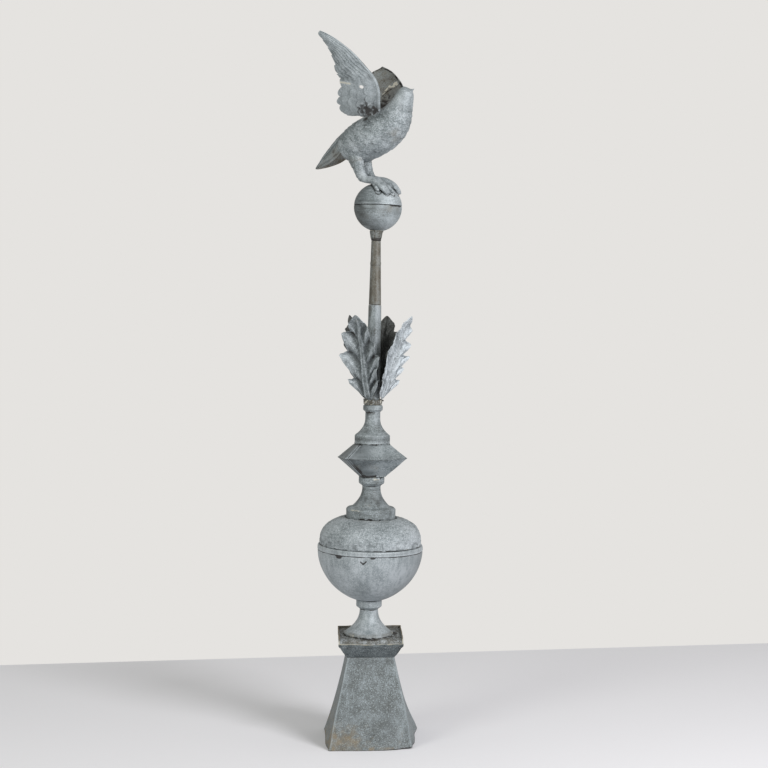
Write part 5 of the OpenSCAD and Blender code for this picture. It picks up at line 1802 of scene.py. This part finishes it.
class FINIAL_OT_bird_tail(bpy.types.Operator):
    """Tail stamped as a tapering trough, with long feathers outside"""

    bl_idname = "finial.bird_tail"
    bl_label = "Bird's tail"

    def execute(self, context):
        sizes = context.scene.finial_sizes
        line = through(TAIL, 14)
        cols = 61
        a = np.linspace(-math.pi / 2, math.pi / 2, cols)[None]
        s = np.linspace(0, 1, len(line))[:, None]
        drop = 1 - np.cos(a)
        grid = np.stack([
            line[:, 0, None] + (line[:, 2] - line[:, 0])[:, None] * drop,
            line[:, 4, None] * TAIL_W * np.sin(a),
            line[:, 1, None] + (line[:, 3] - line[:, 1])[:, None] * drop], -1)
        n = facing(grid, False)
        q = 5.0 * a / math.pi * (1 + 0.25 * s) + 0.5 + 0.08 * grain(grid, 22, 101)
        f = np.where(a > 0, q % 1, 1 - q % 1)
        quill = f - 0.9 * ease(f, 0.9, 1)
        relief = mm(sizes.quill_h) * 0.6 * (quill - 0.5) * ease(s, 0.05, 0.2) + 0.25 * grain(grid, 5, 102)
        skin = 1.1 - 0.75 * ease(s, 0.93, 1)
        outer = grid + n * (skin * (1 + relief))[..., None]
        inner = grid - n * (skin * (1 - 0.3 * relief))[..., None]
        patch = patchy(grid, 12, 103)
        edge = ease(np.abs(a), 1.42, 1.57)
        spot = hump(away_from(grid, (-112, 0, 138), (1, 0.3, 1)), 13)
        low_side = ease(np.abs(a), 0.75, 1.1)
        grime = (
            0.5 * (hump(f - 0.97, 0.07) + hump(f, 0.05)) * patch + 0.3 * ease(-s, -0.12, 0)
            + 0.7 * spot * low_side
        )
        wear = 0.5 * edge * patch + 0.35 * hump(a, 0.06) * patch + 0.4 * ease(s, 0.9, 1)
        stain = 0.25 * patch + 0.6 * low_side * (0.4 + 0.6 * patch)
        inside_grime = 0.8 * spot + 0.6 * edge * patch
        inside_stain = 0.3 + 0.4 * patch + 0.5 * edge
        points, faces, sides = shell(outer, inner, False)
        # Painted shade goes in the splits between the quills, and a painted highlight on the quills.
        split = hump(f - 0.97, 0.08) + hump(f, 0.06)
        marks = lined(
            grime=(grime, inside_grime),
            wear=(wear, 0.1 * wear),
            stain=(stain, inside_stain),
            hollow=(0.8 * split, 0.3 * split),
            bloom=(0.6 * hump(f - 0.6, 0.2) * (0.3 + patch), 0.2 * patch),
        )
        stand(
            "zinc_bird_tail", points, faces, BIRD,
            [finish("zinc_stamped_bird"), finish("zinc_stamped_tail_inside_painted_bright")], ["bird_tail"],
            marks, sides, crisp=60)
        return {"FINISHED"}


def leg(sizes, side, name, node):
    line = through(LEG, 10)
    segs = 64
    a = circle(segs)
    grid = np.zeros((len(line), segs, 3))
    grid[..., 0] = line[:, 0, None] + line[:, 2, None] * np.cos(a)
    grid[..., 2] = line[:, 1, None] + line[:, 3, None] * np.cos(a)
    grid[..., 1] = side * (LEG_OUT + line[:, 5, None]) + line[:, 4, None] * np.sin(a)
    s = np.linspace(0, 1, len(line))[:, None]
    height, rim = feathered(
        s * 13 + 0.1 * grain(grid, 12, 111), a[None] / (2 * math.pi) * 9 + 0.1 * grain(grid, 12, 112))
    coat = 1 - ease(s, 0.4, 0.52)
    push = mm(sizes.feather_h) * 0.8 * (height - 0.7) * coat + 0.5 * grain(grid, 9, 113) * (1 - coat) - 0.2
    skin, away = off_ball(pushed_out(grid, push))
    points, faces = closed(skin)
    faces = righted(points, faces)
    patch = patchy(grid, 10, 114)
    seat = hump(away - BALL_R, 2.6)
    # Painted shade goes past the feathers' rims and where the leg meets the ball; painted highlights go on
    # the rims, with mottling and chalk flecks.
    marks = poled(
        grime=0.5 * hump(rim + 0.06, 0.09) * (rim < 0.02) * coat + 0.85 * seat * (0.4 + patch)
        + 0.35 * hump(s - 0.47, 0.03) * patch,
        wear=0.4 * hump(rim - 0.05, 0.06) * (rim > 0) * coat
        + 0.35 * (1 - coat) * flecks(grid, 7, 115, 0.2, 0.8),
        stain=0.3 * patch * coat + 0.25 * hump(grid[..., 2] - 118, 10),
        hollow=0.7 * hump(rim + 0.06, 0.1) * (rim < 0.02) * coat + 0.4 * flecks(grid, 14, 116, 0, 0.8),
        bloom=0.6 * hump(rim - 0.05, 0.08) * (rim > 0) * coat + 0.5 * flecks(grid, 8, 117, 0, 0.7)
        + 0.5 * (1 - coat) * patch,)
    # Three toes forward, lying on the ball.
    for k in range(len(TOES)):
        start, end = toe(side, k)
        u = np.linspace(0, 1, 26)[:, None]
        path = start * (1 - u) + end * u
        path /= np.linalg.norm(path, axis=1, keepdims=True)
        knuckle = 1 + 0.16 * np.cos(u * 3 * 2 * math.pi)
        thick = (6.6 - 1.6 * u) * knuckle * (1 - ease(u, 0.88, 1.0) * 0.9)
        lift = BALL_R + 0.6 + thick * 0.5
        middle = path * lift
        along = np.gradient(middle, axis=0)
        along /= np.linalg.norm(along, axis=1, keepdims=True)
        out = path - along * np.sum(path * along, axis=1, keepdims=True)
        out /= np.linalg.norm(out, axis=1, keepdims=True)
        across = np.cross(along, out)
        b = circle(20)
        ring = (
            middle[:, None]
            + thick[:, None] * (
                0.8 * out[:, None] * np.cos(b)[None, :, None] + across[:, None] * np.sin(b)[None, :, None])
        )
        ring, far = off_ball(ring)
        more, more_faces = closed(ring)
        more_faces = righted(more, more_faces)
        base = len(points)
        points = np.concatenate([points, more])
        faces = faces + [tuple(v + base for v in f) for f in more_faces]
        # Each toe is painted dark underneath, where it lies on the ball, as a contact shadow, and lighter on
        # top as a painted highlight; the knuckles get dark lines.
        low = ends(0.8 * hump(far - BALL_R - 0.5, 2.2) + 0.3 * hump((u * 3) % 1 - 0.5, 0.16))
        toe_marks = {
            "grime": low, "wear": ends(0.4 * ease(far, BALL_R + 7, BALL_R + 11)), "stain": 0.2 + 0 * low,
            "hollow": 0.4 * low, "bloom": ends(0.7 * ease(far, BALL_R + 4, BALL_R + 9)),
        }
        marks = {key: np.concatenate([marks[key], toe_marks[key]]) for key in marks}
    stand(name, points, faces, BIRD, [finish("zinc_stamped_bird")], [node], marks, crisp=70)


class FINIAL_OT_bird_legs(bpy.types.Operator):
    """Two feathered legs with toes clasped round the ball"""

    bl_idname = "finial.bird_legs"
    bl_label = "Bird's legs"

    def execute(self, context):
        for side, name, node in ((-1, "zinc_leg_right", "leg_right"), (1, "zinc_leg_left", "leg_left")):
            leg(context.scene.finial_sizes, side, name, node)
        return {"FINISHED"}


# ----------------------------------------------------------------- stage
class FINIAL_OT_stage(bpy.types.Operator):
    """Pale floor, soft lights and the camera"""

    bl_idname = "finial.stage"
    bl_label = "Stage"

    def execute(self, context):
        scene = context.scene
        mesh = bpy.data.meshes.new("floor")
        # The far edge runs a little askew, like the foot of the studio's wall.
        mesh.from_pydata([(-4, -4, 0), (4, -4, 0), (4, 1.38, 0), (-4, 0.61, 0)], [], [(0, 1, 2, 3)])
        floor = bpy.data.objects.new("floor", mesh)
        scene.collection.objects.link(floor)
        paint = bpy.data.materials.new("painted_studio_floor")
        paint.use_nodes = True
        tree = paint.node_tree
        tree.nodes.clear()
        shader = add(tree, "ShaderNodeBsdfPrincipled", {
            "Base Color": (*scene.finial_colours.floor, 1), "Roughness": 0.85})
        add(tree, "ShaderNodeOutputMaterial", {"Surface": shader})
        mesh.materials.append(paint)

        world = bpy.data.worlds.new("studio")
        world.use_nodes = True
        tree = world.node_tree
        tree.nodes.clear()
        # The wall stays pale behind the finial, and fills in less light than it shows.
        fill = add(tree, "ShaderNodeBackground", {"Color": (*hex_linear("#e8e7e3"), 1), "Strength": 0.55})
        wall = add(tree, "ShaderNodeBackground", {"Color": (*hex_linear("#e5e3e0"), 1), "Strength": 1.0})
        seen = add(tree, "ShaderNodeLightPath").outputs["Is Camera Ray"]
        both = add(tree, "ShaderNodeMixShader", {0: seen, 1: fill, 2: wall})
        add(tree, "ShaderNodeOutputWorld", {"Surface": both})
        scene.world = world

        for name, where, size, power, tint in (
            ("soft_left", (-2.3, -2.6, 2.3), 1.3, 32.0, (0.98, 1.0, 0.91)),
            ("soft_right", (2.2, -2.7, 2.4), 1.3, 108.0, (1.0, 0.985, 0.99)),
        ):
            lamp = bpy.data.lights.new(name, "AREA")
            lamp.color = tint
            lamp.shape = "SQUARE"
            lamp.size = size
            lamp.energy = power
            thing = bpy.data.objects.new(name, lamp)
            way = Vector(where) - Vector((0, 0, 0.95))
            thing.location = where
            thing.rotation_euler = way.to_track_quat("Z", "Y").to_euler()
            scene.collection.objects.link(thing)

        lens = bpy.data.cameras.new("camera")
        lens.lens = 94.5
        lens.sensor_width = 36
        view = bpy.data.objects.new("camera", lens)
        view.location = (-0.15269, -4.99767, 1.30116)
        view.rotation_euler = (math.radians(90 - 4.594), 0, math.radians(-2.149))
        scene.collection.objects.link(view)
        scene.camera = view
        scene.view_settings.view_transform = "Standard"
        return {"FINISHED"}


class FINIAL_PT_panel(bpy.types.Panel):
    """Sizes, colours and pieces of the finial"""

    bl_idname = "FINIAL_PT_panel"
    bl_label = "Zinc Roof Finial"
    bl_space_type = "VIEW_3D"
    bl_region_type = "UI"
    bl_category = "Finial"

    def draw(self, context):
        for made in (context.scene.finial_sizes, context.scene.finial_colours):
            box = self.layout.box()
            for key in made.__annotations__:
                box.prop(made, key)
        for piece in PIECES:
            self.layout.operator(piece.bl_idname)


PIECES = (
    FINIAL_OT_stage, FINIAL_OT_pedestal, FINIAL_OT_cap, FINIAL_OT_spools, FINIAL_OT_banded_ball,
    FINIAL_OT_lozenge, FINIAL_OT_leaves, FINIAL_OT_stem, FINIAL_OT_small_ball, FINIAL_OT_bird_body,
    FINIAL_OT_bird_wings, FINIAL_OT_bird_tail, FINIAL_OT_bird_legs,)
CLASSES = (FinialSizes, FinialColours, *PIECES, FINIAL_PT_panel)


def register():
    for kind in CLASSES:
        bpy.utils.register_class(kind)
    bpy.types.Scene.finial_sizes = PointerProperty(type=FinialSizes)
    bpy.types.Scene.finial_colours = PointerProperty(type=FinialColours)


def unregister():
    del bpy.types.Scene.finial_colours
    del bpy.types.Scene.finial_sizes
    for kind in reversed(CLASSES):
        bpy.utils.unregister_class(kind)


def main():
    register()
    for piece in PIECES:
        group_name, call = piece.bl_idname.split(".")
        getattr(getattr(bpy.ops, group_name), call)()


if __name__ == "__main__":
    main()
